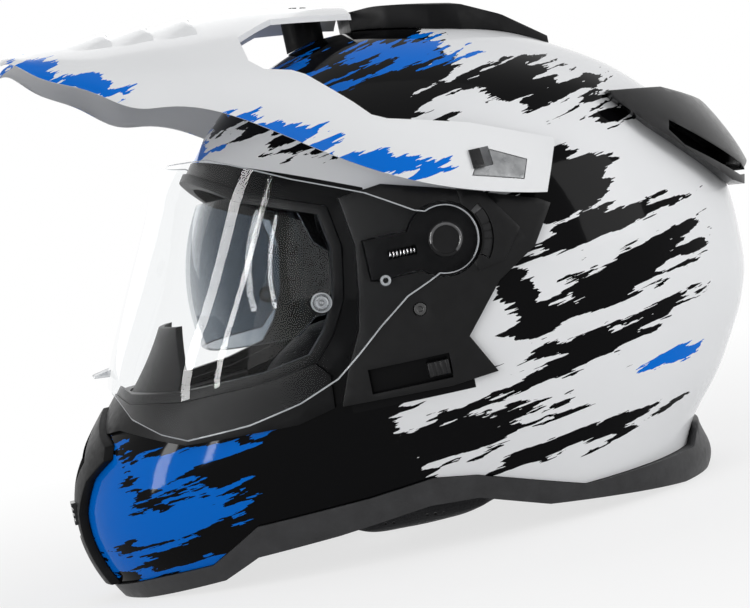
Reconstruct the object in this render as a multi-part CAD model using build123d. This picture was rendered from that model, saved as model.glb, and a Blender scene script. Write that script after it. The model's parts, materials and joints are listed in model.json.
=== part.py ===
"""Dual sport helmet with a peak, a clear face shield, an inner sun visor and a chin strap.

+Z is up and the helmet faces -Y, with the wearer's left on +X. It stands on its rim at Z = 0.
The pieces are laid out from the shield pivot line at Y = 0 and moved together at the end, so that
the origin is under the middle of the whole object. All sizes are in millimetres. Side outlines are
pairs of shares, of the shell's length from the pivot line and of the crown height.
"""

import math
import os

from build123d import *

# Shell
shell_length = 328.0
crown_height = 228.0
half_width = 119.0
shell_wall = 3.0
chin_share = 0.514
rear_share = 0.471
widest_share = 0.055
belt_share = 0.417
dome_share = 0.548
tail_power = 2.1
ring_points = 24

# Clearances
seat_gap = 0.3
running_gap = 0.06
swing_gap = 0.6
overrun = 60.0

# Rim and eyeport
rim_thickness = 11.0
rim_proud = 1.5
rim_flare = 9.0
rim_foot = 4.0
gasket_width = 4.0
gasket_proud = 1.2
gasket_depth = 5.0
frame_proud = 1.8

# Liners and pads
head_width = 172.0
head_length = 200.0
head_rise = 88.0
head_floor_share = 0.491
chin_liner_depth = 15.0
pad_thickness = 9.0
cheek_inner = 61.0
cheek_rounding = 9.0
neck_roll_thickness = 15.0
guard_inset = 6.3
guard_thickness = 2.6

# Face shield
pivot_share = 0.570
shield_half_width = 125.0
shield_reach = 149.5
shield_wall = 2.2
shield_power = 2.5
shield_round = 14.5
shield_open_deg = 40.0
tab_half_width = 11.0
tab_reach = 8.0
tab_thickness = 2.0
pin_head_radius = 4.2
pin_head_depth = 2.4
pin_shank_radius = 1.8

# Shield pivots
hub_radius = 5.0
hub_cap_radius = 7.5
hub_cap_thickness = 1.4
base_radius = 15.6
base_arm_half_height = 8.5
base_arm_reach = 33.0
spring_radius = 1.25
spring_wire = 0.4
spring_length = 10.5
spring_curls = 7
spring_room = 0.5
release_inner_radius = 16.6
release_outer_radius = 20.4
release_from_deg = -34.0
release_to_deg = 26.0
release_travel_deg = 6.0

# Side covers
cover_proud = 3.4
cover_plateau = 1.2
screw_radius = 2.6
screw_head_proud = 0.5
slider_length = 9.0
slider_height = 6.0
slider_travel = 22.0
slider_proud = 6.0

# Sun visor
visor_reach = 93.0
visor_half_width = 98.0
visor_wall = 2.0
visor_power = 3.0
visor_slot = 2.5
visor_boss_radius = 9.0
visor_pin_radius = 2.5

# Peak
peak_wall = 2.5
peak_half_width = 128.0
peak_notch_radius = 90.0
peak_notch_depth = 10.0
latch_length = 8.0
latch_height = 5.0
latch_travel = 4.0
latch_proud = 1.2
stud_radius = 4.5
mount_block_radius = 9.0
mount_screw_radius = 4.0

# Vents and spoiler
top_vent_height = 9.0
top_slider_length = 24.0
top_slider_width = 18.0
top_slider_thickness = 2.4
top_slider_travel = 7.0
spoiler_tail = 12.0
spoiler_proud = 1.6
chin_vent_proud = 4.5
chin_mesh_thickness = 1.6
mesh_bar = 1.4
mesh_gap = 2.0
mesh_slot_reach = 6.0
knob_width = 14.0
knob_height = 10.0
knob_proud = 2.6
knob_travel = 6.0

# Chin strap and buckle
strap_width = 22.0
strap_thickness = 1.6
strap_low_share = 0.101
strap_y_share = -0.104
strap_bend = 9.0
rivet_radius = 5.0
rivet_length = 2.2
buckle_length = 32.0
buckle_wall = 1.5
buckle_height = 9.0
tongue_length = 46.0
tongue_thickness = 2.2
tooth_pitch = 2.6
tooth_height = 0.7
tooth_count = 8
lever_length = 24.0
lever_thickness = 2.2
buckle_pin_radius = 1.5

# Reaches of the whole object in front of and behind the pivot line
front_reach = 0.530 * shell_length
back_reach = 0.4968 * shell_length

chin_reach = chin_share * shell_length
rear_reach = rear_share * shell_length
widest_y = widest_share * shell_length
pivot_height = pivot_share * crown_height
head_floor = head_floor_share * crown_height
head_centre_y = widest_y
wide = half_width + overrun
tall = crown_height + overrun

# Level of the shell: height share, front, rear and width shares, and the power of its nose curve
level_shares = (
    (-0.044, 0.902, 0.660, 0.765, 1.9),
    (0.000, 0.934, 0.686, 0.807, 1.9),
    (0.044, 0.967, 0.706, 0.845, 1.9),
    (0.088, 0.988, 0.722, 0.878, 1.9),
    (0.154, 1.000, 0.800, 0.916, 1.9),
    (0.219, 0.988, 0.874, 0.945, 1.9),
    (0.285, 0.952, 0.933, 0.966, 1.92),
    (0.351, 0.887, 0.975, 0.983, 1.95),
    (0.417, 0.813, 0.990, 0.995, 2.0),
    (0.482, 0.753, 0.990, 1.000, 2.08),
    (0.548, 0.706, 0.981, 1.000, 2.15),
    (0.614, 0.664, 0.951, 0.987, 2.15),
    (0.680, 0.623, 0.903, 0.958, 2.15),
    (0.746, 0.575, 0.832, 0.903, 2.1),
    (0.803, 0.522, 0.748, 0.832, 2.1),
    (0.855, 0.463, 0.647, 0.739, 2.1),
    (0.899, 0.397, 0.537, 0.634, 2.1),
    (0.934, 0.332, 0.434, 0.529, 2.1),
    (0.961, 0.267, 0.324, 0.424, 2.1),
    (0.982, 0.195, 0.201, 0.303, 2.1),
    (0.996, 0.136, 0.052, 0.168, 2.1),
)

# Side outlines, as shares of the shell's length and of the crown height
eyeport_shares = (
    (-0.610, 0.833), (-0.299, 0.820), (-0.226, 0.732), (-0.131, 0.675), (-0.125, 0.596),
    (-0.137, 0.500), (-0.159, 0.439), (-0.186, 0.395), (-0.250, 0.377), (-0.360, 0.368),
    (-0.424, 0.377), (-0.445, 0.408), (-0.610, 0.408),
)
rim_top_shares = (
    (-0.610, 0.031), (-0.491, 0.031), (-0.430, 0.044), (-0.366, 0.053), (-0.302, 0.114),
    (-0.155, 0.127), (-0.073, 0.140), (-0.015, 0.127), (0.125, 0.061), (0.305, 0.061),
    (0.329, 0.096), (0.610, 0.132),
)
rim_foot_shares = (
    (-0.610, 0.0), (-0.457, 0.0), (-0.354, 0.018), (-0.308, 0.053), (-0.201, 0.066),
    (-0.082, 0.088), (-0.018, 0.083), (0.073, 0.039), (0.165, 0.022), (0.280, 0.0),
    (0.610, 0.0),
)
liner_edge_shares = (
    (-0.610, 0.835), (-0.299, 0.835), (-0.220, 0.746), (-0.122, 0.689), (-0.113, 0.596),
    (-0.125, 0.500), (-0.134, 0.456), (0.107, 0.456), (0.107, 0.100), (0.340, 0.110),
    (0.610, 0.150),
)
pad_edge_shares = (
    (-0.610, 0.860), (-0.215, 0.775), (-0.100, 0.710), (-0.085, 0.500), (0.183, 0.480),
    (0.260, 0.340), (0.610, 0.340),
)
cheek_shares = (
    (-0.222, 0.080), (-0.225, 0.263), (-0.201, 0.360), (-0.125, 0.430), (0.085, 0.438),
    (0.100, 0.263), (0.091, 0.096), (-0.030, 0.042), (-0.150, 0.040),
)
frame_shares = (
    (-0.610, 0.417), (-0.436, 0.417), (-0.415, 0.386), (-0.360, 0.379), (-0.250, 0.388),
    (-0.192, 0.399), (-0.174, 0.368), (-0.177, 0.307), (-0.226, 0.289), (-0.369, 0.289),
    (-0.396, 0.303), (-0.445, 0.333), (-0.610, 0.290),
)
shield_shares = (
    (-0.534, 0.860), (-0.308, 0.816), (-0.259, 0.807), (-0.168, 0.737), (-0.085, 0.684),
    (-0.030, 0.634), (0.0, 0.620), (0.0, 0.520), (-0.030, 0.500), (-0.061, 0.482), (-0.101, 0.439),
    (-0.137, 0.395), (-0.168, 0.360), (-0.220, 0.329), (-0.287, 0.307), (-0.366, 0.298),
    (-0.396, 0.316), (-0.427, 0.351), (-0.445, 0.412), (-0.534, 0.412),
)
cover_shares = (
    (-0.116, 0.684), (-0.061, 0.693), (0.012, 0.662), (0.131, 0.605), (0.146, 0.592),
    (0.113, 0.522), (0.058, 0.474), (0.006, 0.386), (0.034, 0.311), (-0.027, 0.303),
    (-0.168, 0.307), (-0.152, 0.368), (-0.128, 0.439), (-0.119, 0.500), (-0.110, 0.592),
)
plateau_shares = ((0.030, 0.654), (0.062, 0.640), (0.098, 0.561), (0.070, 0.509), (0.034, 0.500))
slider_slot_shares = ((-0.128, 0.318), (-0.024, 0.318), (-0.024, 0.364), (-0.128, 0.364))
visor_shares = (
    (-0.351, 0.443), (-0.195, 0.443), (-0.171, 0.474), (-0.122, 0.480), (-0.024, 0.480),
    (-0.024, 0.555), (-0.122, 0.570), (-0.152, 0.614), (-0.165, 0.693), (-0.189, 0.728),
    (-0.351, 0.728),
)
spoiler_shares = (
    (0.274, 0.772), (0.360, 0.759), (0.433, 0.719), (0.460, 0.693), (0.512, 0.610),
    (0.506, 0.592), (0.463, 0.570), (0.451, 0.539), (0.427, 0.553), (0.366, 0.627),
    (0.317, 0.689), (0.277, 0.754),
)
spoiler_slot_shares = (
    (0.348, 0.693), (0.369, 0.671), (0.457, 0.579), (0.463, 0.557), (0.448, 0.557),
    (0.360, 0.640), (0.342, 0.675),
)
window_shares = (
    (-0.183, 1.300), (-0.183, 0.969), (-0.168, 0.947), (-0.134, 0.934), (-0.119, 0.921),
    (-0.073, 0.851), (-0.055, 0.820), (-0.037, 0.807), (0.067, 0.768), (0.122, 0.737),
    (0.213, 0.684), (0.213, 1.300),
)
panel_shares = ((0.049, 0.672), (0.116, 0.645), (0.128, 0.680), (0.079, 0.715), (0.064, 0.702))

# Shield profile at the middle: angle about the pivot above straight ahead, and share of its reach
shield_profile_shares = (
    (-90.0, 1.200), (-60.0, 1.190), (-45.0, 1.175), (-32.5, 1.117), (-22.0, 1.063),
    (-13.6, 1.000), (-5.1, 0.912), (6.1, 0.829), (19.0, 0.783), (28.6, 0.769),
    (60.0, 0.765), (90.0, 0.776), (135.0, 0.836), (180.0, 0.903), (225.0, 1.020),
)

# Peak stations: Y share, shares of the crown height at the middle and edge, share of the peak's
# half width at the edge, and the share of that where the side turns down
peak_station_shares = (
    (-0.494, 1.092, 1.066, 0.344, 0.92),
    (-0.470, 1.096, 1.053, 0.398, 0.92),
    (-0.436, 1.099, 1.013, 0.484, 0.92),
    (-0.405, 1.096, 0.990, 0.547, 0.92),
    (-0.363, 1.092, 0.947, 0.641, 0.92),
    (-0.305, 1.090, 0.917, 0.711, 0.92),
    (-0.213, 1.088, 0.864, 0.812, 0.93),
    (-0.128, 1.079, 0.776, 0.914, 0.94),
    (-0.021, 1.053, 0.684, 0.996, 0.94),
    (0.095, 1.013, 0.627, 1.000, 0.90),
    (0.183, 0.974, 0.605, 0.996, 0.88),
)
# Arch of the peak: share of the half width, and share of the rise from the edge to the middle
peak_arch_shares = ((0.0, 1.0), (0.3, 0.91), (0.68, 0.64))
peak_turn_rise_share = 0.30
# Centre arm beside the windows: half-width share of the peak, and Y share of the shell's length
window_plan_shares = ((0.50, -0.189), (0.29, -0.128), (0.25, -0.030), (0.22, 0.213))

# Front outline of the chin vent, as shares of the half width and of the crown height
chin_vent_shares = (
    (0.0, 0.373), (0.277, 0.307), (0.294, 0.281), (0.185, 0.246), (0.101, 0.180),
    (0.101, 0.127), (0.126, 0.031),
)
mouth_shares = ((0.0, 0.338), (0.118, 0.281), (0.0, 0.228), (-0.118, 0.281))
guard_shares = ((0.290, 0.504), (0.420, 0.417), (0.470, 0.330))
guard_back_share = 0.25
chin_back_share = 0.30

# Plan outline of the top vent, as shares of the half width and of the shell's length
top_vent_shares = (
    (0.160, -0.014), (0.270, 0.030), (0.345, 0.085), (0.340, 0.125), (0.260, 0.185),
    (0.060, 0.262),
)


def side_points(shares):
    """Side view points, Y and Z, from shares of the shell's length and of the crown height."""
    return [(y * shell_length, z * crown_height) for y, z in shares]


def front_points(shares):
    """Front view points, X and Z, from shares of the half width and of the crown height."""
    return [(x * half_width, z * crown_height) for x, z in shares]


def mirrored_points(points):
    """Closed outline from the points of its +X half, listed from one end to the other."""
    return points + [(-x, other) for x, other in reversed(points) if x]


def shifted(points, rise):
    """The same outline, moved up."""
    return [(along, height + rise) for along, height in points]


def outline_face(points, rounding=0):
    """Flat face with straight sides and rounded corners."""
    if rounding:
        return make_face(FilletPolyline(*points, radius=rounding, close=True))
    return make_face(Polyline(*points, close=True))


def side_block(points, low_x=-wide, high_x=wide, rounding=0):
    """Solid with the given side outline between two X positions."""
    return extrude(Plane.YZ.offset(low_x) * outline_face(points, rounding), high_x - low_x)


def front_block(points, front_y, back_y, rounding=0):
    """Solid with the given front outline between two Y positions."""
    return extrude(Plane.XZ.offset(-back_y) * outline_face(points, rounding), back_y - front_y)


def plan_block(points, low_z, high_z, rounding=0):
    """Solid with the given plan outline between two heights."""
    return extrude(Plane.XY.offset(low_z) * outline_face(points, rounding), high_z - low_z)


def side_cylinder(y, z, radius, low_x, high_x):
    """Cylinder along X between two X positions."""
    return extrude(Plane.YZ.offset(low_x) * Pos(y, z) * Circle(radius), high_x - low_x)


def above(points):
    """Everything above a side outline that runs from front to back."""
    return side_block(points + [(points[-1][0], tall), (points[0][0], tall)])


def below(points):
    """Everything below a side outline that runs from front to back."""
    return side_block(points + [(points[-1][0], -overrun), (points[0][0], -overrun)])


def other_side(piece):
    """The same piece on the wearer's right."""
    return mirror(piece, Plane.YZ)


def smooth_ring(points):
    """Closed smooth curve whose points are evenly spread along its parameter."""
    steps = [index / len(points) for index in range(len(points) + 1)]
    return Wire([Edge.make_spline(points, periodic=True, parameters=steps)])


def closed_ring(centre_y, height, front, rear, width, front_power, rear_power):
    """Level closed curve, wide in X, with its own reach and roundness at the front and rear."""
    points = []
    for step in range(ring_points):
        turn = 2 * math.pi * step / ring_points
        across = abs(math.cos(turn)) / width
        if math.sin(turn) < 0:
            along = abs(math.sin(turn)) / front
            power = front_power
        else:
            along = abs(math.sin(turn)) / rear
            power = rear_power
        radius = (across ** power + along ** power) ** (-1 / power)
        points.append((radius * math.cos(turn), centre_y + radius * math.sin(turn), height))
    return smooth_ring(points)


def level_ring(row, inset, tail):
    """One level of the helmet's form, drawn in by the inset."""
    height_share, front, rear, width, nose_power = row
    belt = belt_share * crown_height
    height = height_share * crown_height
    if height > belt:
        height = belt + (height - belt) * (crown_height - belt - inset) / (crown_height - belt)
    front_y = -front * chin_reach + inset
    rear_y = rear * rear_reach - inset + tail
    centre_y = widest_y
    if height_share > dome_share:
        centre_y = (front_y + rear_y) / 2
    return closed_ring(
        centre_y, height, centre_y - front_y, rear_y - centre_y, width * half_width - inset,
        nose_power, tail_power,
    )


made_forms = {}


def form(inset=0, tail=0):
    """Closed outer form of the helmet, drawn in by an inset and pushed out behind by a tail."""
    key = (inset, tail)
    if key not in made_forms:
        rows = []
        for row in level_shares:
            half_depth = (row[1] * chin_reach + row[2] * rear_reach) / 2
            if min(half_depth, row[3] * half_width) > 1.5 * inset:
                rows.append(row)
        made_forms[key] = Solid.make_loft([level_ring(row, inset, tail) for row in rows])
    return made_forms[key]


def skin(block, outer_proud, tail=0):
    """Piece of a block that hugs the outside of the shell."""
    return (block & form(-outer_proud, tail)) - form(-seat_gap)


def form_width(y, z):
    """Half width of the shell's outer form at a side view point, between its levels."""
    for low, high in zip(level_shares, level_shares[1:]):
        if low[0] * crown_height <= z <= high[0] * crown_height:
            part = (z / crown_height - low[0]) / (high[0] - low[0])
            row = [a + (b - a) * part for a, b in zip(low, high)]
    front_y = -row[1] * chin_reach
    rear_y = row[2] * rear_reach
    if y < widest_y:
        along = (widest_y - y) / (widest_y - front_y)
        power = row[4]
    else:
        along = (y - widest_y) / (rear_y - widest_y)
        power = tail_power
    return row[3] * half_width * (1 - along ** power) ** (1 / power)


def head_room(shrink=0):
    """Hollow for the head: half an ellipsoid over straight walls."""
    width = head_width / 2 - shrink
    length = head_length / 2 - shrink
    rise = head_rise - shrink
    rings = []
    for degrees in (0, 15, 30, 45, 60, 75, 85):
        lean = math.radians(degrees)
        plane = Plane((0, head_centre_y, head_floor + rise * math.sin(lean)))
        ellipse = Edge.make_ellipse(width * math.cos(lean), length * math.cos(lean), plane)
        rings.append(Wire([ellipse]))
    dome = Solid.make_loft(rings)
    walls = extrude(Plane.XY.offset(-overrun) * Pos(0, head_centre_y) * Ellipse(width, length),
                    head_floor + overrun)
    return walls + dome


def swing_form(centre_y, centre_z, swing_width, reach, power, profile_shares, inset):
    """Closed form round a pivot axis along X: one profile, scaled down towards both pivots."""
    rings = []
    for degrees in (-83, -74, -62, -48, -32, -16, 0, 16, 32, 48, 62, 74, 83):
        across = math.sin(math.radians(degrees))
        scale_share = math.sqrt(1 - abs(across) ** power)
        points = []
        for angle, share in profile_shares:
            radius = (reach * share - inset) * scale_share
            turn = math.radians(angle)
            points.append((
                (swing_width - inset) * across,
                centre_y - radius * math.cos(turn),
                centre_z + radius * math.sin(turn),
            ))
        rings.append(smooth_ring(points))
    return Solid.make_loft(rings)


def shield_form(inset=0):
    """Closed form whose skin is the face shield."""
    return swing_form(0, pivot_height, shield_half_width, shield_reach, shield_power,
                      shield_profile_shares, inset)


visor_pivot_y = -0.024 * shell_length
visor_pivot_z = 0.5175 * crown_height
visor_profile_shares = tuple((angle, 1.0) for angle in range(0, 360, 24))


def visor_form(inset=0):
    """Closed form whose skin is the sun visor, the same at every angle round its pivot."""
    return swing_form(visor_pivot_y, visor_pivot_z, visor_half_width, visor_reach, visor_power,
                      visor_profile_shares, inset)


def peak_section(station, inset, open_below):
    """Arched section of the peak across its length, drawn in by the inset."""
    y_share, middle, edge, width, turn = station
    half = width * peak_half_width - inset
    low = edge * crown_height
    high = middle * crown_height - inset
    arch = peak_arch_shares + ((turn, peak_turn_rise_share), (1.0, 0.0))
    near = [(across * half, y_share * shell_length, low + up * (high - low)) for across, up in arch]
    far = [(-x, y, z) for x, y, z in reversed(near[1:])]
    points = far + near
    edges = [Edge.make_spline(points)]
    if open_below:
        left, right = Vector(*points[-1]), Vector(*points[0])
        drop = Vector(0, 0, -overrun)
        edges.append(Edge.make_line(left, left + drop))
        edges.append(Edge.make_line(left + drop, right + drop))
        edges.append(Edge.make_line(right + drop, right))
    else:
        edges.append(Edge.make_line(points[-1], points[0]))
    return Wire(edges)


def peak_form(inset=0, open_below=False):
    """Closed form under the peak's skin, open to below when it hollows the peak out."""
    stations = peak_station_shares
    if open_below:
        end_share = 0.01
        first, last = stations[0], stations[-1]
        stations = (
            ((first[0] - end_share,) + first[1:],) + stations + ((last[0] + end_share,) + last[1:],)
        )
    return Solid.make_loft([peak_section(row, inset, open_below) for row in stations])


def vent_hole(scale_share):
    """Hollow through the chin bar behind the mouth of the chin vent."""
    points = front_points(mouth_shares)
    middle = sum(z for _, z in points) / len(points)
    scaled = [(x * scale_share, middle + (z - middle) * scale_share) for x, z in points]
    return front_block(scaled, -chin_reach - overrun, -chin_reach / 2)


# Shares of the chin vent's mouth taken by the holes and mesh behind it
shell_hole_share = 0.86
liner_hole_share = 0.72
mesh_share = 0.82

rim_top = side_points(rim_top_shares)
eyeport = side_points(eyeport_shares)


def outer_shell():
    """Hard outer shell, open at the neck and the eyeport, with the chin vent's hole."""
    shell = form() - form(shell_wall)
    shell = shell & above(rim_top)
    shell -= side_block(eyeport)
    return shell - vent_hole(shell_hole_share)


def lower_rim_trim():
    """Rubber edge round the neck opening, flared outwards behind."""
    flare_shares = (1.0, 1.0, 0.9, 0.3, 0.0, 0.0)
    rows = level_shares[:len(flare_shares)]
    outer = Solid.make_loft([
        level_ring(row, -rim_proud, rim_flare * share) for row, share in zip(rows, flare_shares)
    ])
    inner = Solid.make_loft([level_ring(row, rim_thickness, 0) for row in rows])
    band = (outer - inner) & below(shifted(rim_top, -seat_gap))
    return band & above(side_points(rim_foot_shares))


def eps_liner():
    """Foam liner between the shell and the head, cut away where the sun visor swings."""
    liner = form(shell_wall + seat_gap) & above(side_points(liner_edge_shares))
    liner -= head_room()
    reach = 2 * shell_length
    start, stop = math.radians(-13), math.radians(98)
    fan = [(visor_pivot_y, visor_pivot_z), (visor_pivot_y, visor_pivot_z - visor_boss_radius)]
    for turn in (start, 0, math.pi / 4, stop):
        fan.append((visor_pivot_y - reach * math.cos(turn), visor_pivot_z + reach * math.sin(turn)))
    fan.append((visor_pivot_y + visor_boss_radius, visor_pivot_z))
    swing = side_block(fan) - visor_form(visor_wall + visor_slot)
    liner -= swing
    boss_low = visor_half_width - visor_wall - visor_slot
    for low_x, high_x in ((boss_low, wide), (-wide, -boss_low)):
        liner -= side_cylinder(visor_pivot_y, visor_pivot_z, visor_boss_radius + visor_slot,
                               low_x, high_x)
    return liner


def crown_pad():
    """Soft lining of the liner's dome."""
    pad = head_room(seat_gap) - head_room(pad_thickness)
    return pad & above(side_points(pad_edge_shares))


def chin_line_points():
    """Side line of the top of the chin bar's foam."""
    return side_points(((-0.610, 0.372), (-0.424, 0.372), (-0.360, 0.357), (-0.232, 0.360)))


def chin_bar_liner():
    """Foam block inside the chin bar."""
    front = side_points(((-0.610, 0.0), (-0.232, 0.0))) + list(reversed(chin_line_points()))
    block = side_block(front) & above(shifted(rim_top, seat_gap))
    block = block & form(shell_wall + seat_gap)
    block -= form(shell_wall + seat_gap + chin_liner_depth)
    return block - vent_hole(liner_hole_share)


def breath_guard():
    """Raised guard in front of the nose, standing on the chin bar's foam."""
    outline = mirrored_points(front_points(guard_shares))
    plate = front_block(outline, -chin_reach - overrun, -guard_back_share * shell_length)
    plate = plate & above(shifted(chin_line_points(), seat_gap)) & form(guard_inset)
    return plate - form(guard_inset + guard_thickness)


strap_y = strap_y_share * shell_length
strap_z = strap_low_share * crown_height
anchor_z = 0.245 * crown_height
strap_top_x = form_width(strap_y, anchor_z) - shell_wall - rivet_length - 1.5 * strap_thickness
strap_knee_share = 0.79


def strap_line(end_x):
    """Line of one strap half in the front view, from its anchor to its end under the chin."""
    return [
        (strap_top_x, anchor_z + rivet_radius + strap_width / 4),
        (strap_top_x, anchor_z - rivet_radius),
        (strap_top_x * strap_knee_share, strap_z + strap_width / 4),
        (strap_top_x * strap_knee_share - strap_bend, strap_z),
        (end_x, strap_z),
    ]


def ribbon(line, thickness):
    """Closed outline of an open line given a thickness."""
    sides = ([], [])
    for index, (x, z) in enumerate(line):
        before = line[max(index - 1, 0)]
        after = line[min(index + 1, len(line) - 1)]
        into = (x - before[0], z - before[1]) if index else (after[0] - x, after[1] - z)
        out = (after[0] - x, after[1] - z) if index < len(line) - 1 else into
        normals = []
        for along_x, along_z in (into, out):
            length = math.hypot(along_x, along_z)
            normals.append((-along_z / length, along_x / length))
        normal = (normals[0][0] + normals[1][0], normals[0][1] + normals[1][1])
        length = math.hypot(*normal)
        stretch = thickness / length ** 2
        for side, points in ((1, sides[0]), (-1, sides[1])):
            points.append((x + side * stretch * normal[0], z + side * stretch * normal[1]))
    return sides[0] + list(reversed(sides[1]))


def strap_band(end_x, thickness, width):
    """Strap half of a given thickness and width."""
    outline = ribbon(strap_line(end_x), thickness)
    return front_block(outline, strap_y - width / 2, strap_y + width / 2)


def strap_half(end_x):
    """One strap half with the hole of its rivet."""
    band = strap_band(end_x, strap_thickness, strap_width)
    hole = side_cylinder(strap_y, anchor_z, rivet_radius / 2 + seat_gap, 0, wide)
    return band - hole


def strap_rivet():
    """Rivet that holds a strap end against the inside of the shell."""
    low = strap_top_x - strap_thickness / 2 - seat_gap
    high = strap_top_x + strap_thickness / 2 + seat_gap
    head = side_cylinder(strap_y, anchor_z, rivet_radius, low - rivet_length, low)
    shank = side_cylinder(strap_y, anchor_z, rivet_radius / 2, low - rivet_length / 2, high + seat_gap)
    flange = side_cylinder(strap_y, anchor_z, 1.4 * rivet_radius, high, wide)
    return head + shank + (flange & form(shell_wall + seat_gap))


def cheek_pad():
    """Thick pad beside the cheek on the wearer's left, crowned towards the face."""
    points = side_points(cheek_shares)
    centre_y = sum(y for y, _ in points) / len(points)
    centre_z = sum(z for _, z in points) / len(points)
    sections = []
    station_shares = ((0.0, 0.78), (0.06, 0.91), (0.2, 0.99), (0.5, 1.0), (1.0, 0.97))
    for depth_share, size_share in station_shares:
        x = cheek_inner + depth_share * (half_width - cheek_inner)
        scaled = [
            (x, centre_y + (y - centre_y) * size_share, centre_z + (z - centre_z) * size_share)
            for y, z in points
        ]
        path = FilletPolyline(*scaled, radius=cheek_rounding * size_share, close=True)
        sections.append(path.wires()[0])
    pad = Solid.make_loft(sections)
    pad = pad & form(shell_wall + 2 * seat_gap)
    rim_room = below(shifted(rim_top, seat_gap)) - form(rim_thickness + seat_gap)
    pad -= rim_room
    channel = strap_band(0, strap_thickness + 4 * seat_gap, strap_width + 4 * seat_gap)
    pad -= channel
    low = strap_top_x - strap_thickness / 2 - rivet_length - 3 * seat_gap
    return pad - side_cylinder(strap_y, anchor_z, 1.4 * rivet_radius + 2 * seat_gap, low, wide)


def neck_roll():
    """Soft roll behind the neck, inside the rim."""
    roll = head_room(2 * seat_gap) & form(rim_thickness + 2 * seat_gap)
    roll -= form(rim_thickness + neck_roll_thickness)
    ends = side_points(((0.120, 0.020), (0.132, 0.128), (0.610, 0.128), (0.610, 0.020)))
    return roll & side_block(ends)


def eyeport_gasket():
    """Rubber seal round the edge of the eyeport."""
    opening = offset(outline_face(eyeport), -seat_gap)
    inside = offset(outline_face(eyeport), -seat_gap - gasket_width)
    ring = extrude(Plane.YZ.offset(-wide) * (opening - inside), 2 * wide)
    ring = ring & side_block(side_points(((-0.55, 0.2), (0.1, 0.2), (0.1, 1.0), (-0.55, 1.0))))
    return (ring & form(-gasket_proud)) - form(gasket_depth)


def chin_vent_block(grow=0):
    """Front outline of the chin vent, as a block."""
    points = mirrored_points(front_points(chin_vent_shares))
    face = outline_face(points)
    if grow:
        face = offset(face, grow)
    back = -chin_back_share * shell_length
    front = -chin_reach - overrun
    return extrude(Plane.XZ.offset(-back) * face, back - front)


def eyeport_frame():
    """Black frame under the shield's lower edge, across the top of the chin bar."""
    plate = side_block(side_points(frame_shares)) - chin_vent_block(seat_gap)
    plate -= side_block(eyeport)
    return skin(plate, frame_proud)


knob_z = 0.182 * crown_height
knob_front = front_reach
knob_back = knob_front - knob_proud - 1.4


def chin_vent_housing():
    """Proud front piece of the chin bar, with the vent's mouth and the knob's recess."""
    block = chin_vent_block() & above(shifted(rim_top, seat_gap))
    block -= front_block(front_points(mouth_shares), -chin_reach - overrun, 0)
    housing = skin(block, chin_vent_proud)
    low = knob_z - knob_height / 2 - knob_travel - running_gap
    high = knob_z + knob_height / 2 + running_gap
    side = knob_width / 2 + running_gap
    room = [(-side, low), (side, low), (side, high), (-side, high)]
    return housing - front_block(room, -knob_front - overrun, -knob_back + seat_gap)


def chin_vent_knob():
    """Ribbed knob that slides down to shut the chin vent."""
    side = knob_width / 2
    low, high = knob_z - knob_height / 2, knob_z + knob_height / 2
    body = [(-side, low), (side, low), (side, high), (-side, high)]
    knob = front_block(body, -knob_front, -knob_back)
    rib_count = 3
    rib_pitch = knob_height / (rib_count + 1)
    groove = knob_proud / 4
    for index in range(rib_count):
        z = low + (index + 1) * rib_pitch
        line = [(-side, z - groove), (side, z - groove), (side, z + groove), (-side, z + groove)]
        knob -= front_block(line, -knob_front, -knob_front + groove)
    return knob


def chin_vent_mesh():
    """Slotted grille in the shell's hole behind the mouth."""
    plate = vent_hole(mesh_share)
    pitch = mesh_bar + mesh_gap
    middle = mouth_shares[1][1] * crown_height
    for index in (-2, -1, 0, 1, 2):
        z = middle + index * pitch
        side = mesh_slot_reach * (1 - abs(index) / 3)
        slot = [(-side, z - mesh_gap / 2), (side, z - mesh_gap / 2), (side, z + mesh_gap / 2),
                (-side, z + mesh_gap / 2)]
        plate -= front_block(slot, -chin_reach - overrun, 0)
    return (plate & form(seat_gap)) - form(seat_gap + chin_mesh_thickness)


screw_y = -0.0485 * shell_length
screw_z = 0.454 * crown_height
slider_y = -0.0405 * shell_length
slider_z = 0.3405 * crown_height
base_top = shield_half_width * math.sin(math.radians(83)) - shield_wall - swing_gap


def base_outline(grow=0):
    """Side face of the pivot base: a disc with an arm that reaches forward."""
    disc = Pos(0, pivot_height) * Circle(base_radius + grow)
    arm_half = base_arm_half_height + grow
    arm = Pos(-base_arm_reach / 2, pivot_height - arm_half / 4) * Rectangle(
        base_arm_reach + 2 * grow, 2 * arm_half)
    return disc + arm


def arc_bar(inner, outer, start_deg, stop_deg, low_x, high_x):
    """Curved bar about the shield pivot, its angles counted upwards from straight behind."""
    points = []
    for radius, turns in ((outer, (start_deg, stop_deg)), (inner, (stop_deg, start_deg))):
        first, last = turns
        for part in (0, 0.5, 1):
            turn = math.radians(first + (last - first) * part)
            points.append((radius * math.cos(turn), pivot_height + radius * math.sin(turn)))
    edges = [
        ThreePointArc(*points[:3]), Line(points[2], points[3]), ThreePointArc(*points[3:]),
        Line(points[5], points[0]),
    ]
    return extrude(Plane.YZ.offset(low_x) * make_face(Curve() + edges), high_x - low_x)


def side_cover():
    """Black cover over the shield mechanism on the wearer's left."""
    cover = skin(side_block(side_points(cover_shares), 0), cover_proud)
    cover += skin(side_block(side_points(plateau_shares), 0), cover_proud + cover_plateau)
    cover -= extrude(Plane.YZ * base_outline(seat_gap), wide)
    cover -= arc_bar(
        release_inner_radius - seat_gap, release_outer_radius + seat_gap,
        release_from_deg - 2, release_to_deg + release_travel_deg + 2, 0, wide,
    )
    cover -= side_cylinder(screw_y, screw_z, screw_radius + seat_gap, 0, wide)
    return cover


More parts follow.
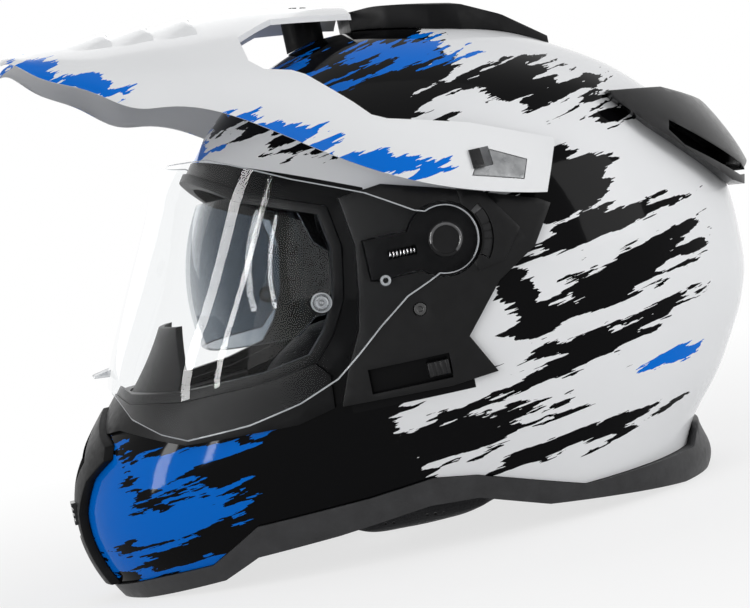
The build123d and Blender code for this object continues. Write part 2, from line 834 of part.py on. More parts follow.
def cover_screw():
    """Screw that holds a side cover, with a hexagon socket."""
    top = form_width(screw_y, screw_z) + cover_proud + screw_head_proud
    screw = side_cylinder(screw_y, screw_z, screw_radius, 0, top) - form(-seat_gap)
    socket = Plane.YZ.offset(top - screw_radius / 2) * Pos(screw_y, screw_z) * RegularPolygon(
        screw_radius / 2, 6)
    return screw - extrude(socket, screw_radius)


spring_y = -0.0560 * shell_length
spring_z = 0.5625 * crown_height
spring_x = base_top - spring_radius - spring_wire / 2 - 1.5 * spring_room


def pivot_base():
    """Base plate on the shell that carries the shield's hub pin and the spring's channel."""
    base = extrude(Plane.YZ * base_outline(), base_top) - form(-seat_gap)
    base = base & shield_form(shield_wall + swing_gap)
    pin = side_cylinder(0, pivot_height, hub_radius, base_top - seat_gap,
                        base_top + swing_gap + shield_wall + swing_gap)
    room = spring_radius + spring_wire / 2 + spring_room
    half = spring_length / 2 + spring_wire + spring_room
    channel = [(spring_y - half, spring_z - room), (spring_y + half, spring_z - room),
               (spring_y + half, spring_z + room), (spring_y - half, spring_z + room)]
    base -= side_block(channel, spring_x - room, wide)
    return base + pin


def pivot_cap():
    """Notched cap on the end of the hub pin, which keeps the shield on."""
    low = base_top + 2 * swing_gap + shield_wall
    cap = side_cylinder(0, pivot_height, hub_cap_radius, low, low + hub_cap_thickness)
    hollow = side_cylinder(0, pivot_height, hub_cap_radius - hub_cap_thickness,
                           low + hub_cap_thickness / 2, wide)
    notch = [(-hub_cap_radius, pivot_height), (0, pivot_height), (0, pivot_height + hub_cap_radius),
             (-hub_cap_radius, pivot_height + hub_cap_radius)]
    return cap - hollow - side_block(notch, low + hub_cap_thickness / 2, wide)


def helix_point(turn):
    """Point on the spring's centre line after a number of turns, and its direction there."""
    angle = 2 * math.pi * turn
    pitch = spring_length / spring_curls
    point = Vector(
        spring_x + spring_radius * math.cos(angle),
        spring_y - spring_length / 2 + pitch * turn,
        spring_z + spring_radius * math.sin(angle),
    )
    slope = pitch / (2 * math.pi)
    direction = Vector(
        -spring_radius * math.sin(angle), slope, spring_radius * math.cos(angle)).normalized()
    return point, direction


def helix_edges():
    """Spring line as two tangent arcs for each quarter turn, with a short straight at each end."""
    first, heading = helix_point(0)
    edges = [Edge.make_line(first - heading * spring_wire, first)]
    for quarter in range(4 * spring_curls):
        start, start_way = helix_point(quarter / 4)
        stop, stop_way = helix_point((quarter + 1) / 4)
        span = stop - start
        ways = start_way + stop_way
        a = ways.dot(ways) - 4
        b = -2 * span.dot(ways)
        c = span.dot(span)
        leg = (-b - math.sqrt(b * b - 4 * a * c)) / (2 * a)
        corner = start + start_way * leg
        joint = (corner + stop - stop_way * leg) / 2
        edges.append(Edge.make_tangent_arc(start, start_way, joint))
        edges.append(Edge.make_tangent_arc(joint, (joint - corner).normalized(), stop))
    last, heading = helix_point(spring_curls)
    edges.append(Edge.make_line(last, last + heading * spring_wire))
    return edges


def spring_gap():
    """Least gap from the spring's wire to itself, measured on points along its line."""
    count = 24 * spring_curls
    points = [helix_point(spring_curls * index / count)[0] for index in range(count + 1)]
    least = spring_length
    for index, point in enumerate(points):
        for other in points[index + 12:]:
            least = min(least, (point - other).length - spring_wire)
    return least


def pivot_spring():
    """Helical detent spring in the pivot base."""
    edges = helix_edges()
    start, heading = helix_point(0)
    section = Plane(start - heading * spring_wire, z_dir=heading) * Circle(spring_wire / 2)
    return sweep(section, Wire(edges))


def release_tab():
    """Curved tab in the side cover that frees the shield."""
    top = base_top + cover_plateau
    tab = arc_bar(release_inner_radius, release_outer_radius, release_from_deg, release_to_deg,
                  0, top)
    groove = (release_outer_radius - release_inner_radius) / 6
    for degrees in (-12, -2, 8):
        tab -= arc_bar(release_inner_radius - groove, release_outer_radius + groove,
                       degrees - 1, degrees + 1, top - groove, wide)
    return tab - form(-2 * seat_gap)


def face_shield():
    """Clear face shield with a round end about each hub."""
    lens = shield_form() - shield_form(shield_wall)
    face = outline_face(side_points(shield_shares))
    face = face + Pos(0, pivot_height) * Circle(shield_round)
    lens = lens & extrude(Plane.YZ.offset(-wide) * face, 2 * wide)
    lens -= side_cylinder(0, pivot_height, hub_radius + running_gap, -wide, wide)
    return lens - side_cylinder(pin_y, pin_z, pin_shank_radius + seat_gap / 2, -wide, wide)


pin_y = -0.168 * shell_length
pin_z = 0.504 * crown_height


def swing_width_at(y, z):
    """Half width of the shield's outer face at a side view point."""
    radius = math.hypot(y, z - pivot_height)
    angle = math.degrees(math.atan2(z - pivot_height, -y))
    for low, high in zip(shield_profile_shares, shield_profile_shares[1:]):
        if low[0] <= angle <= high[0]:
            part = (angle - low[0]) / (high[0] - low[0])
            reach = (low[1] + (high[1] - low[1]) * part) * shield_reach
    return shield_half_width * (1 - (radius / reach) ** 2) ** (1 / shield_power)


def lens_pin():
    """Eccentric pin that would hold an anti-fog lens inside the shield."""
    outer = swing_width_at(pin_y, pin_z)
    low = outer - shield_wall - pin_head_depth - pin_head_radius / 2
    head = side_cylinder(pin_y, pin_z, pin_head_radius, low, wide) & shield_form(
        shield_wall + seat_gap / 2)
    shank = side_cylinder(pin_y, pin_z, pin_shank_radius, low, outer + seat_gap)
    return head + shank


def shield_tab():
    """Finger tab on the lower edge of the shield."""
    root = -0.430 * shell_length
    tip = root - tab_reach - shield_wall
    high = 0.4400 * crown_height
    outline = [(root, high - tab_thickness), (tip, high - tab_thickness / 2), (tip, high),
               (root, high + tab_thickness)]
    tab = side_block(outline, -tab_half_width, tab_half_width)
    return tab - shield_form(-seat_gap / 2)


def sun_visor():
    """Tinted inner visor with an arm to its pivot on each side."""
    lens = visor_form() - visor_form(visor_wall)
    face = outline_face(side_points(visor_shares))
    face = face + Pos(visor_pivot_y, visor_pivot_z) * Circle(visor_boss_radius)
    lens = lens & extrude(Plane.YZ.offset(-wide) * face, 2 * wide)
    return lens - side_cylinder(visor_pivot_y, visor_pivot_z, visor_pin_radius + running_gap,
                                -wide, wide)


def visor_bracket():
    """Boss on the inside of the shell with the sun visor's pivot pin."""
    arm_out = visor_half_width * math.sin(math.radians(83)) + seat_gap
    boss = side_cylinder(visor_pivot_y, visor_pivot_z, visor_boss_radius, arm_out, wide)
    boss = boss & form(shell_wall + seat_gap)
    pin = side_cylinder(visor_pivot_y, visor_pivot_z, visor_pin_radius,
                        arm_out - visor_wall - 2 * seat_gap, arm_out + seat_gap)
    return boss + pin


def sun_visor_slider():
    """Thumb slider on the left side cover that works the sun visor."""
    half, tall_half = slider_length / 2, slider_height / 2
    low = form_width(slider_y - half, slider_z - tall_half)
    outline = [(slider_y - half, slider_z - tall_half), (slider_y + half, slider_z - tall_half),
               (slider_y + half, slider_z + tall_half), (slider_y - half, slider_z + tall_half)]
    slider = side_block(outline, 0, low + slider_proud) - form(-2 * seat_gap)
    groove = slider_height / 8
    for index in (-1, 0, 1):
        y = slider_y + index * slider_length / 4
        line = [(y - groove, slider_z - tall_half), (y + groove, slider_z - tall_half),
                (y + groove, slider_z + tall_half), (y - groove, slider_z + tall_half)]
        slider -= side_block(line, low + slider_proud - groove, wide)
    return slider


latch_y = 0.0610 * shell_length
latch_z = 0.7010 * crown_height


def latch_block(grow=0, travel=0, forward=0):
    """Side outline of a peak latch slider."""
    half, tall_half = latch_height / 2 + grow, latch_length / 2 + grow
    front, back = latch_y - half - forward, latch_y + half + travel
    return side_block([
        (front, latch_z - tall_half), (back, latch_z - tall_half),
        (back, latch_z + tall_half), (front, latch_z + tall_half),
    ], 0)


mount_y = -0.073 * shell_length
arm_end_y = -0.016 * shell_length


def peak():
    """Peak with a wide front, a centre arm and a side arm on each side."""
    body = peak_form() - peak_form(peak_wall, True)
    windows = side_block(side_points(window_shares))
    inner = [(x * peak_half_width, y * shell_length) for x, y in window_plan_shares]
    beside = inner + [(wide, inner[-1][1]), (wide, inner[0][1])]
    keep = plan_block(beside, 0, 2 * tall)
    body -= windows & (keep + other_side(keep))
    notch_y = -0.494 * shell_length + peak_notch_depth - peak_notch_radius
    body -= extrude(Plane.XY * Pos(0, notch_y) * Circle(peak_notch_radius), 2 * tall)
    back = side_points(((0.171, 1.3), (0.171, 0.700), (0.155, 0.654), (0.137, 0.605), (0.137, 0.4),
                        (0.4, 0.4), (0.4, 1.3)))
    body -= side_block(back)
    centre = side_points(((arm_end_y / shell_length, 0.9), (0.4, 0.9), (0.4, 1.3),
                          (arm_end_y / shell_length, 1.3)))
    body -= side_block(centre)
    panels = side_block(side_points(panel_shares), 0)
    latches = latch_block(running_gap, latch_travel)
    body -= panels + other_side(panels) + latches + other_side(latches)
    return body - extrude(Plane.XY * Pos(0, mount_y) * Circle(mount_screw_radius + seat_gap),
                          2 * tall)


def latch_panel():
    """Panel let into the peak's side arm, over its fixing."""
    face = offset(outline_face(side_points(panel_shares)), -seat_gap)
    block = extrude(Plane.YZ * face, wide)
    wall = peak_form() - peak_form(peak_wall, True)
    return (wall & block) - latch_block(running_gap, latch_travel, overrun)


def latch_slider():
    """Small slider at the front of the panel that frees the peak."""
    wall = peak_form(-latch_proud) - peak_form(peak_wall, True)
    return wall & latch_block()


def peak_stud():
    """Stud that carries the peak's side arm on the shell."""
    y, z = 0.104 * shell_length, 0.680 * crown_height
    stud = side_cylinder(y, z, stud_radius, 0, wide) - form(-seat_gap)
    return stud & peak_form(peak_wall + seat_gap, True)


def peak_mount_block():
    """Block on the crown under the centre arm."""
    block = extrude(Plane.XY * Pos(0, mount_y) * Circle(mount_block_radius), 2 * tall)
    return (block - form(-seat_gap)) & peak_form(peak_wall + seat_gap, True)


def peak_mount_screw():
    """Slotted screw through the centre arm into its block."""
    shank = extrude(Plane.XY * Pos(0, mount_y) * Circle(mount_screw_radius), 2 * tall)
    screw = shank & peak_form(-latch_proud / 2)
    screw -= peak_form(peak_wall, True)
    groove = mount_screw_radius / 5
    line = [(-wide, mount_y - groove), (wide, mount_y - groove), (wide, mount_y + groove),
            (-wide, mount_y + groove)]
    depth = peak_form() - peak_form(2 * groove)
    return screw - (plan_block(line, 0, 2 * tall) - peak_form(groove))


top_slider_y = 0.128 * shell_length
top_slider_z = 0.9980 * crown_height
top_slope = math.radians(15.0)


def top_slider_block(grow, longer, deeper):
    """Box of the top vent's slider, laid on the housing's slope."""
    plane = Plane(
        (0, top_slider_y, top_slider_z), x_dir=(1, 0, 0),
        z_dir=(0, math.sin(top_slope), math.cos(top_slope)),
    )
    length = top_slider_length + 2 * grow + longer
    thickness = top_slider_thickness + deeper
    return plane * Pos(0, longer / 2, (top_slider_thickness - deeper) / 2 - grow) * Box(
        top_slider_width + 2 * grow, length, thickness)


def top_vent_housing():
    """Black fairing over the crown vents."""
    half = [(x * half_width, y * shell_length) for x, y in top_vent_shares]
    outline = half + [(-x, y) for x, y in reversed(half)]
    housing = (form(-top_vent_height) - form(-seat_gap)) & plan_block(outline, 0, 2 * tall)
    roof = side_points(((-0.05, 1.046), (0.0, 1.040), (0.119, 1.009), (0.192, 0.966), (0.30, 0.880)))
    housing = housing & below(roof)
    return housing - top_slider_block(seat_gap, top_slider_travel, top_vent_height)


def top_vent_slider():
    """Slider in the top vent housing, with two finger ribs."""
    plate = top_slider_block(0, 0, 0)
    rib = top_slider_thickness / 2
    plane = Plane(
        (0, top_slider_y, top_slider_z + top_slider_thickness), x_dir=(1, 0, 0),
        z_dir=(0, math.sin(top_slope), math.cos(top_slope)),
    )
    for index in (-1, 1):
        plate += plane * Pos(0, index * 2 * rib, 0) * Box(top_slider_width / 2, rib, 2 * rib)
    return plate


def rear_spoiler():
    """Spoiler that wraps the back of the shell, slotted above its vents."""
    block = side_block(side_points(spoiler_shares))
    block -= side_block(side_points(spoiler_slot_shares))
    return skin(block, spoiler_proud, spoiler_tail)


def rear_vent_mesh():
    """Mesh strip on each side under the spoiler's slot."""
    face = offset(outline_face(side_points(spoiler_slot_shares)), -seat_gap)
    block = extrude(Plane.YZ.offset(-wide) * face, 2 * wide)
    return skin(block, spoiler_proud / 2 + seat_gap)


buckle_x = 0.285 * half_width
buckle_mid = buckle_x - buckle_length / 2
buckle_floor = strap_z - strap_thickness / 2 - buckle_wall
buckle_pin_x = buckle_x - 0.28 * buckle_length
buckle_pin_z = buckle_floor + buckle_height - 2 * buckle_pin_radius
cheek_y = strap_width / 2 + buckle_wall


def buckle_box(low_x, high_x, half_y, low_z, high_z):
    """Box of the buckle, centred on the strap's width."""
    return Pos((low_x + high_x) / 2, strap_y, (low_z + high_z) / 2) * Box(
        high_x - low_x, 2 * half_y, high_z - low_z)


def strap_cylinder(radius, half_y):
    """Cylinder along Y at the buckle's pin."""
    return Pos(buckle_pin_x, strap_y, buckle_pin_z) * Rot(90, 0, 0) * Cylinder(radius, 2 * half_y)


def buckle_housing():
    """Steel channel on the left strap that takes the toothed tongue."""
    low_x = buckle_x - buckle_length
    channel = buckle_box(low_x, buckle_x, cheek_y, buckle_floor, buckle_floor + buckle_height)
    channel -= buckle_box(low_x - overrun, buckle_x - buckle_wall, strap_width / 2,
                          buckle_floor + buckle_wall, buckle_floor + overrun)
    return channel - strap_cylinder(buckle_pin_radius + running_gap, cheek_y + overrun)


tongue_low = buckle_floor + buckle_wall + seat_gap
tongue_far_x = buckle_pin_x - 2.2 * buckle_pin_radius - lever_thickness
tongue_near_x = tongue_far_x - tongue_length


def buckle_tongue():
    """Toothed tongue on the right strap."""
    half = 0.36 * strap_width
    tongue = buckle_box(tongue_near_x, tongue_far_x, half, tongue_low, tongue_low + tongue_thickness)
    for index in range(tooth_count):
        x = tongue_far_x - (index + 1) * tooth_pitch
        top = tongue_low + tongue_thickness
        tooth = [(x, top - seat_gap), (x + tooth_pitch / 2, top - seat_gap), (x, top + tooth_height)]
        tongue += front_block(tooth, strap_y - half, strap_y + half)
    return tongue


def buckle_lever():
    """Sprung lever over the tongue, hinged on the buckle's pin."""
    half = strap_width / 2 - seat_gap
    low = tongue_low + tongue_thickness + tooth_height + seat_gap
    lever = buckle_box(buckle_pin_x - lever_length, buckle_pin_x, half, low, low + lever_thickness)
    lever += strap_cylinder(2 * buckle_pin_radius, half)
    return lever - strap_cylinder(buckle_pin_radius + running_gap, cheek_y + overrun)


def pair(piece):
    """A piece and its twin on the other side, as two solids of one group."""
    return Compound([piece, other_side(piece)])


def solids_of(piece):
    """The solids of a result, in a plain list."""
    return list(piece.solids())


centre_nodes = {
    "outer_shell": outer_shell,
    "eps_liner": eps_liner,
    "chin_bar_liner": chin_bar_liner,
    "crown_pad": crown_pad,
    "neck_roll": neck_roll,
    "breath_guard": breath_guard,
    "eyeport_gasket": eyeport_gasket,
    "eyeport_frame": eyeport_frame,
    "lower_rim_trim": lower_rim_trim,
    "rear_spoiler": rear_spoiler,
    "rear_vent_mesh": rear_vent_mesh,
    "top_vent_housing": top_vent_housing,
    "top_vent_slider": top_vent_slider,
    "peak": peak,
    "peak_mount_block": peak_mount_block,
    "peak_mount_screw": peak_mount_screw,
    "face_shield": face_shield,
    "shield_tab": shield_tab,
    "sun_visor": sun_visor,
    "chin_vent_housing": chin_vent_housing,
    "chin_vent_knob": chin_vent_knob,
    "chin_vent_mesh": chin_vent_mesh,
    "buckle_housing": buckle_housing,
    "buckle_tongue": buckle_tongue,
    "buckle_lever": buckle_lever,
}
paired_nodes = {
    "cheek_pad": cheek_pad,
    "side_cover": side_cover,
    "pivot_base": pivot_base,
    "pivot_spring": pivot_spring,
    "pivot_cap": pivot_cap,
    "shield_release_tab": release_tab,
    "peak_latch_panel": latch_panel,
    "peak_latch_slider": latch_slider,
    "peak_stud": peak_stud,
    "sun_visor_bracket": visor_bracket,
}
grouped_nodes = {
    "side_cover_screws": cover_screw,
    "shield_lens_pins": lens_pin,
    "strap_rivets": strap_rivet,
}


def build_nodes():
    """Every node of the helmet by name, laid out from the shield pivot line."""
    nodes = {name: make() for name, make in centre_nodes.items()}
    for name, make in paired_nodes.items():
        piece = make()
        nodes[name + "_left"] = piece
        nodes[name + "_right"] = other_side(piece)
    for name, make in grouped_nodes.items():
        nodes[name] = pair(make())
    nodes["side_cover_left"] -= side_block(side_points(slider_slot_shares), 0)
    nodes["sun_visor_slider"] = sun_visor_slider()
    nodes["strap_left"] = strap_half(buckle_x + seat_gap)
    nodes["strap_right"] = other_side(strap_half(-tongue_near_x + seat_gap))
    nodes["buckle_pin"] = strap_cylinder(buckle_pin_radius, cheek_y)
    return nodes


def main():
    """Moves the helmet so that its origin is under its middle, and writes one file per node."""
    os.makedirs("parts", exist_ok=True)
    to_origin = Pos(0, (front_reach - back_reach) / 2, 0)
    print("spring's least gap to itself, mm:", round(spring_gap(), 3))
    for name, piece in build_nodes().items():
        pieces = solids_of(to_origin * piece)
        whole = pieces[0] if len(pieces) == 1 else Compound(pieces)
        export_step(whole, f"parts/{name}.step")


if __name__ == "__main__":
    main()
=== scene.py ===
"""Looks of the dual sport helmet: paint, plastics, clear parts, linings, straps and studio."""
import json
import math

import bmesh
import bpy
import numpy
from mathutils import Matrix, Vector, noise
from mathutils.bvhtree import BVHTree


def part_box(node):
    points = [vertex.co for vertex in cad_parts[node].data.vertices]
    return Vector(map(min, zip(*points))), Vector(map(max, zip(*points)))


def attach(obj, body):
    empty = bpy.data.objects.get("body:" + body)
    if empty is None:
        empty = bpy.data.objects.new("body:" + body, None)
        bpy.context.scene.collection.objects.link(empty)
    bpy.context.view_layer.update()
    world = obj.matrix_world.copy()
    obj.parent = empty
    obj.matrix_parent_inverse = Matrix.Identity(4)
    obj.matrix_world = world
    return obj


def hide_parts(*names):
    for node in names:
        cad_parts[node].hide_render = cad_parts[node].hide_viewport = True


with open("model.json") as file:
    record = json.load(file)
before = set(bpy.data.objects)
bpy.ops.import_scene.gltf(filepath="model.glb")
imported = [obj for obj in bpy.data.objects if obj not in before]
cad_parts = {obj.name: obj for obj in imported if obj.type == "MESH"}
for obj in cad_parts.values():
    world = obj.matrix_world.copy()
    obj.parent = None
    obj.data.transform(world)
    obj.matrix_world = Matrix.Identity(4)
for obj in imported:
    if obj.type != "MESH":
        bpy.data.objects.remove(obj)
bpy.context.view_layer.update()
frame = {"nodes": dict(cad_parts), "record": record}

nodes = frame["nodes"]
MM = 0.001
SIDES = (("left", 1), ("right", -1))
PIVOT = Vector((0.0, 5.446, 129.96)) * MM  # middle of the shield's hubs
HEAD_MIDDLE = Vector((0.0, 0.015, 0.12))
STUDIO_MIDDLE = (0.0, 0.0, 0.12)
CREASE = math.radians(40)  # an edge that turns more than this is rounded
EDGE_ROUNDING = 0.3 * MM
FORM_HEIGHT = 100 * MM  # unit of height in the fit of a clear sheet's form
CLEAR_GLOSS = 0.4  # share of the full reflection that the clear sheets show

WHITE = (0.81, 0.815, 0.82, 1.0)
SHADED_WHITE = (0.775, 0.78, 0.79, 1.0)
# grey painted shade for the peak's downward faces
PEAK_UNDERSIDE_SHADE = (0.62, 0.625, 0.635, 1.0)
BLUE = (0.0, 0.15, 0.64, 1.0)
BLACK = (0.0022, 0.0022, 0.0026, 1.0)
PEAK_BLACK = (0.01, 0.01, 0.012, 1.0)
COVERED_BLACK = (0.004, 0.004, 0.0044, 1.0)
PURE_WHITE = (1, 1, 1, 1)
bpy.ops.object.select_all(action="DESELECT")


# ---- shader helpers
def shader(tree, kind, inputs=None, **settings):
    """Adds one shader node; an input is a plain value or another node's output."""
    made = tree.nodes.new("ShaderNode" + kind)
    for key, value in settings.items():
        setattr(made, key, value)
    for key, value in (inputs or {}).items():
        socket = made.inputs[key]
        if isinstance(value, bpy.types.NodeSocket):
            tree.links.new(value, socket)
        else:
            socket.default_value = value
    return made


def maths(tree, operation, first, second=0.0):
    """Result of one sum on two values."""
    return shader(tree, "Math", {0: first, 1: second}, operation=operation).outputs[0]


def product(tree, first, second):
    """One value times another."""
    return maths(tree, "MULTIPLY", first, second)


def inverse(tree, share):
    """What a share leaves of the whole."""
    return maths(tree, "SUBTRACT", 1.0, share)


def near(tree, value, middle, reach):
    """1 where a value is within reach of a middle, 0 elsewhere."""
    away = maths(tree, "ABSOLUTE", maths(tree, "SUBTRACT", value, middle))
    return maths(tree, "LESS_THAN", away, reach)


def axes(tree, vector):
    """The x, y and z parts of a vector."""
    return shader(tree, "SeparateXYZ", {0: vector}).outputs


def length_of(tree, vector):
    """Length of a vector."""
    return shader(tree, "VectorMath", {0: vector}, operation="LENGTH").outputs["Value"]


def blended(tree, share, first, second):
    """Colour mixed from two by a share."""
    return shader(tree, "Mix", {0: share, 6: first, 7: second}, data_type="RGBA").outputs[2]


def layered(tree, share, first, second):
    """Shader mixed from two by a share."""
    return shader(tree, "MixShader", {0: share, 1: first, 2: second}).outputs[0]


def seen_directly(tree):
    """1 for rays from the camera, mirrored rays and rays through clear parts, 0 for lighting."""
    rays = shader(tree, "LightPath").outputs
    return maths(tree, "MAXIMUM", rays["Is Camera Ray"],
                 maths(tree, "MAXIMUM", rays["Is Glossy Ray"], rays["Is Transmission Ray"]))


def ramped(tree, value, low, high, start=0.0, stop=1.0):
    """Value carried from one range to another, held at its ends."""
    made = shader(tree, "MapRange", {0: value, 1: low, 2: high, 3: start, 4: stop}, clamp=True)
    return made.outputs[0]


def new_finish(name):
    """Empty material with its tree and the place of each point on the object."""
    material = bpy.data.materials.new(name)
    material.use_nodes = True
    tree = material.node_tree
    tree.nodes.clear()
    return material, tree, shader(tree, "TexCoord").outputs["Object"]


def surface(tree, output):
    """Ends a material with its surface."""
    shader(tree, "OutputMaterial", {"Surface": output})


def cloudy(tree, place, size, detail=2.0, rough=0.5):
    """Soft noise whose blotches have the given size."""
    return shader(tree, "TexNoise", {"Vector": place, "Scale": 1.0 / size, "Detail": detail,
                                     "Roughness": rough}).outputs[0]


def bumped(tree, height, depth, strength):
    """Normal of a surface with the given bumps."""
    bump = shader(tree, "Bump", {"Height": height, "Distance": depth, "Strength": strength})
    return bump.outputs[0]


def grain(tree, place, size, depth, strength=0.6):
    """Fine bumps moulded or sprayed into a surface."""
    return bumped(tree, cloudy(tree, place, size, 3.0), depth, strength)


def moulded(name, dark, light, rough, size=0.6 * MM, depth=0.015 * MM, specular=0.08, metal=0.0):
    """Plastic, rubber or metal with fine grain, faint blotches and uneven gloss."""
    material, tree, place = new_finish(name)
    blotch = cloudy(tree, place, 9 * MM, 4.0, 0.6)
    color = blended(tree, ramped(tree, blotch, 0.3, 0.7), dark, light)
    gloss = ramped(tree, cloudy(tree, place, 3 * MM, 3.0), 0.3, 0.7, rough - 0.05, rough + 0.05)
    body = shader(tree, "BsdfPrincipled", {
        "Base Color": color, "Roughness": gloss, "Metallic": metal, "Specular IOR Level": specular,
        "Normal": grain(tree, place, size, depth),
    })
    surface(tree, body.outputs[0])
    return material


# ---- brush streak artwork
def streaks(tree, place, slant, shift, spots):
    """Ragged brush strokes, solid inside each spot and torn into streaks round it.

    A spot is its middle and reach in the side view, in millimetres, its slant in degrees, and how
    far out it stays solid and where it ends, as shares of the reach.
    """
    lay = shader(tree, "Mapping", {
        "Vector": place, "Location": (0.0, shift, 2 * shift), "Rotation": (math.radians(slant), 0, 0),
        "Scale": (46 * MM, 58 * MM, 6.5 * MM),
    }, vector_type="TEXTURE").outputs[0]
    broad = shader(tree, "TexNoise", {"Vector": lay, "Scale": 1.0, "Detail": 4.0, "Roughness": 0.6,
                                      "Distortion": 0.3}).outputs[0]
    bristle = shader(tree, "TexNoise", {"Vector": lay, "Scale": 2.9, "Detail": 3.0,
                                        "Roughness": 0.55}).outputs[0]
    torn = maths(tree, "ADD", product(tree, broad, 0.62), product(tree, bristle, 0.38))
    torn = ramped(tree, torn, 0.37, 0.63, 0.02, 0.98)
    nearest = None
    for y, z, reach_y, reach_z, turn, inner, outer in spots:
        spot = shader(tree, "Mapping", {
            "Vector": place, "Location": (0.0, y * MM + PIVOT.y, z * MM),
            "Rotation": (math.radians(turn), 0, 0), "Scale": (1e3, reach_y * MM, reach_z * MM),
        }, vector_type="TEXTURE").outputs[0]
        away = ramped(tree, length_of(tree, spot), inner, outer)
        nearest = away if nearest is None else maths(tree, "MINIMUM", nearest, away)
    return maths(tree, "GREATER_THAN", torn, nearest)


def side_line(tree, place, start, stop):
    """1 above a line in the side view, 0 below it; its ends are in millimetres, y from the pivot."""
    _, y, z = axes(tree, place)
    slope = (stop[1] - start[1]) / (stop[0] - start[0])
    along = maths(tree, "SUBTRACT", y, start[0] * MM + PIVOT.y)
    line = maths(tree, "ADD", product(tree, along, slope), start[1] * MM)
    return maths(tree, "GREATER_THAN", z, line)


def gloss_paint(tree, color, rough, normal, coat):
    """Glossy paint under a thin clear coat."""
    return shader(tree, "BsdfPrincipled", {
        "Base Color": color, "Roughness": rough, "Specular IOR Level": 0.03, "Coat Weight": coat,
        "Coat Roughness": 0.03, "Coat IOR": 1.4, "Normal": normal,
    }).outputs[0]


def shell_paint():
    """White shell with black and blue brush strokes, matte black under the shield and its covers."""
    material, tree, place = new_finish("shell_paint")
    black = streaks(tree, place, 9, 0.013, (
        (-100, 36, 84, 58, -6, 0.84, 1.08), (-20, 46, 66, 16, 4, 0.10, 1.25),
        (-30, 214, 66, 42, -14, 0.66, 1.10), (54, 188, 52, 13, -12, 0.05, 1.25),
        (52, 138, 30, 24, 8, 0.30, 1.20), (76, 100, 54, 13, 8, 0.0, 1.30),
        (56, 70, 58, 10, 8, 0.0, 1.30), (66, 120, 56, 6, 7, 0.0, 1.3),
        (30, 92, 12, 24, 16, 0.1, 1.2), (22, 234, 40, 7, -6, 0.1, 1.2),
        (40, 34, 60, 7, 6, 0.0, 1.2), (84, 166, 36, 7, -4, 0.0, 1.2),
    ))
    blue = streaks(tree, place, 11, 0.071, (
        (-164, 46, 22, 46, 0, 0.35, 1.25), (-138, 34, 46, 17, 8, 0.10, 1.2),
        (-112, 14, 50, 8, 6, 0.1, 1.2), (-112, 62, 44, 7, 8, 0.0, 1.2),
        (-134, 56, 24, 12, 10, 0.0, 1.1), (-60, 222, 66, 26, -16, 0.0, 1.1),
        (-104, 196, 30, 30, -10, 0.4, 1.1), (6, 212, 46, 12, -8, 0.0, 1.0),
        (92, 58, 26, 6, 6, 0.0, 0.9),
    ))
    base = blended(tree, cloudy(tree, place, 60 * MM), WHITE, SHADED_WHITE)
    color = blended(tree, black, base, BLACK)
    color = blended(tree, blue, color, BLUE)
    _, y, z = axes(tree, place)
    under_brow = inverse(tree, side_line(tree, place, (-98, 190), (0, 146)))
    over_chin = side_line(tree, place, (-150, 74), (0, 70))
    ahead = maths(tree, "LESS_THAN", y, -21.5 * MM)
    covered = product(tree, product(tree, under_brow, over_chin), ahead)
    slot = product(tree, near(tree, y, -19.5 * MM, 26 * MM), near(tree, z, 78 * MM, 12 * MM))
    covered = maths(tree, "MAXIMUM", covered, slot)
    color = blended(tree, covered, color, COVERED_BLACK)
    rough = ramped(tree, cloudy(tree, place, 30 * MM), 0.3, 0.7, 0.06, 0.10)
    rough = maths(tree, "ADD", rough, product(tree, covered, 0.36))
    wave = grain(tree, place, 1.6 * MM, 0.01 * MM, 0.15)
    surface(tree, gloss_paint(tree, color, rough, wave, 0.08))
    return material


def peak_paint():
    """White peak with brush strokes on its upward faces, and a grey painted shade on the faces that
    look down, which are also rougher.
    """
    material, tree, place = new_finish("peak_paint")
    blue = streaks(tree, place, 12, 0.031, (
        (-150, 236, 24, 12, -28, 0.2, 1.2), (-128, 226, 30, 7, -25, 0.05, 1.1),
        (-60, 186, 40, 12, -22, 0.15, 1.15), (-16, 166, 34, 8, -16, 0.1, 1.1),
    ))
    black = streaks(tree, place, 10, 0.057, ((-74, 182, 26, 5, -24, 0.0, 1.0),
                                             (-34, 158, 20, 5, -20, 0.0, 1.1)))
    facing = axes(tree, shader(tree, "NewGeometry").outputs["Normal"])
    above = maths(tree, "GREATER_THAN", facing[2], -0.12)
    color = blended(tree, black, WHITE, PEAK_BLACK)
    color = blended(tree, blue, color, BLUE)
    # faces that look down get a grey painted shade in place of the paint
    color = blended(tree, above, PEAK_UNDERSIDE_SHADE, color)
    rough = ramped(tree, cloudy(tree, place, 30 * MM), 0.3, 0.7, 0.12, 0.18)
    rough = maths(tree, "ADD", rough, product(tree, inverse(tree, above), 0.25))
    wave = grain(tree, place, 1.2 * MM, 0.01 * MM, 0.15)
    surface(tree, gloss_paint(tree, color, rough, wave, 0.15))
    return material


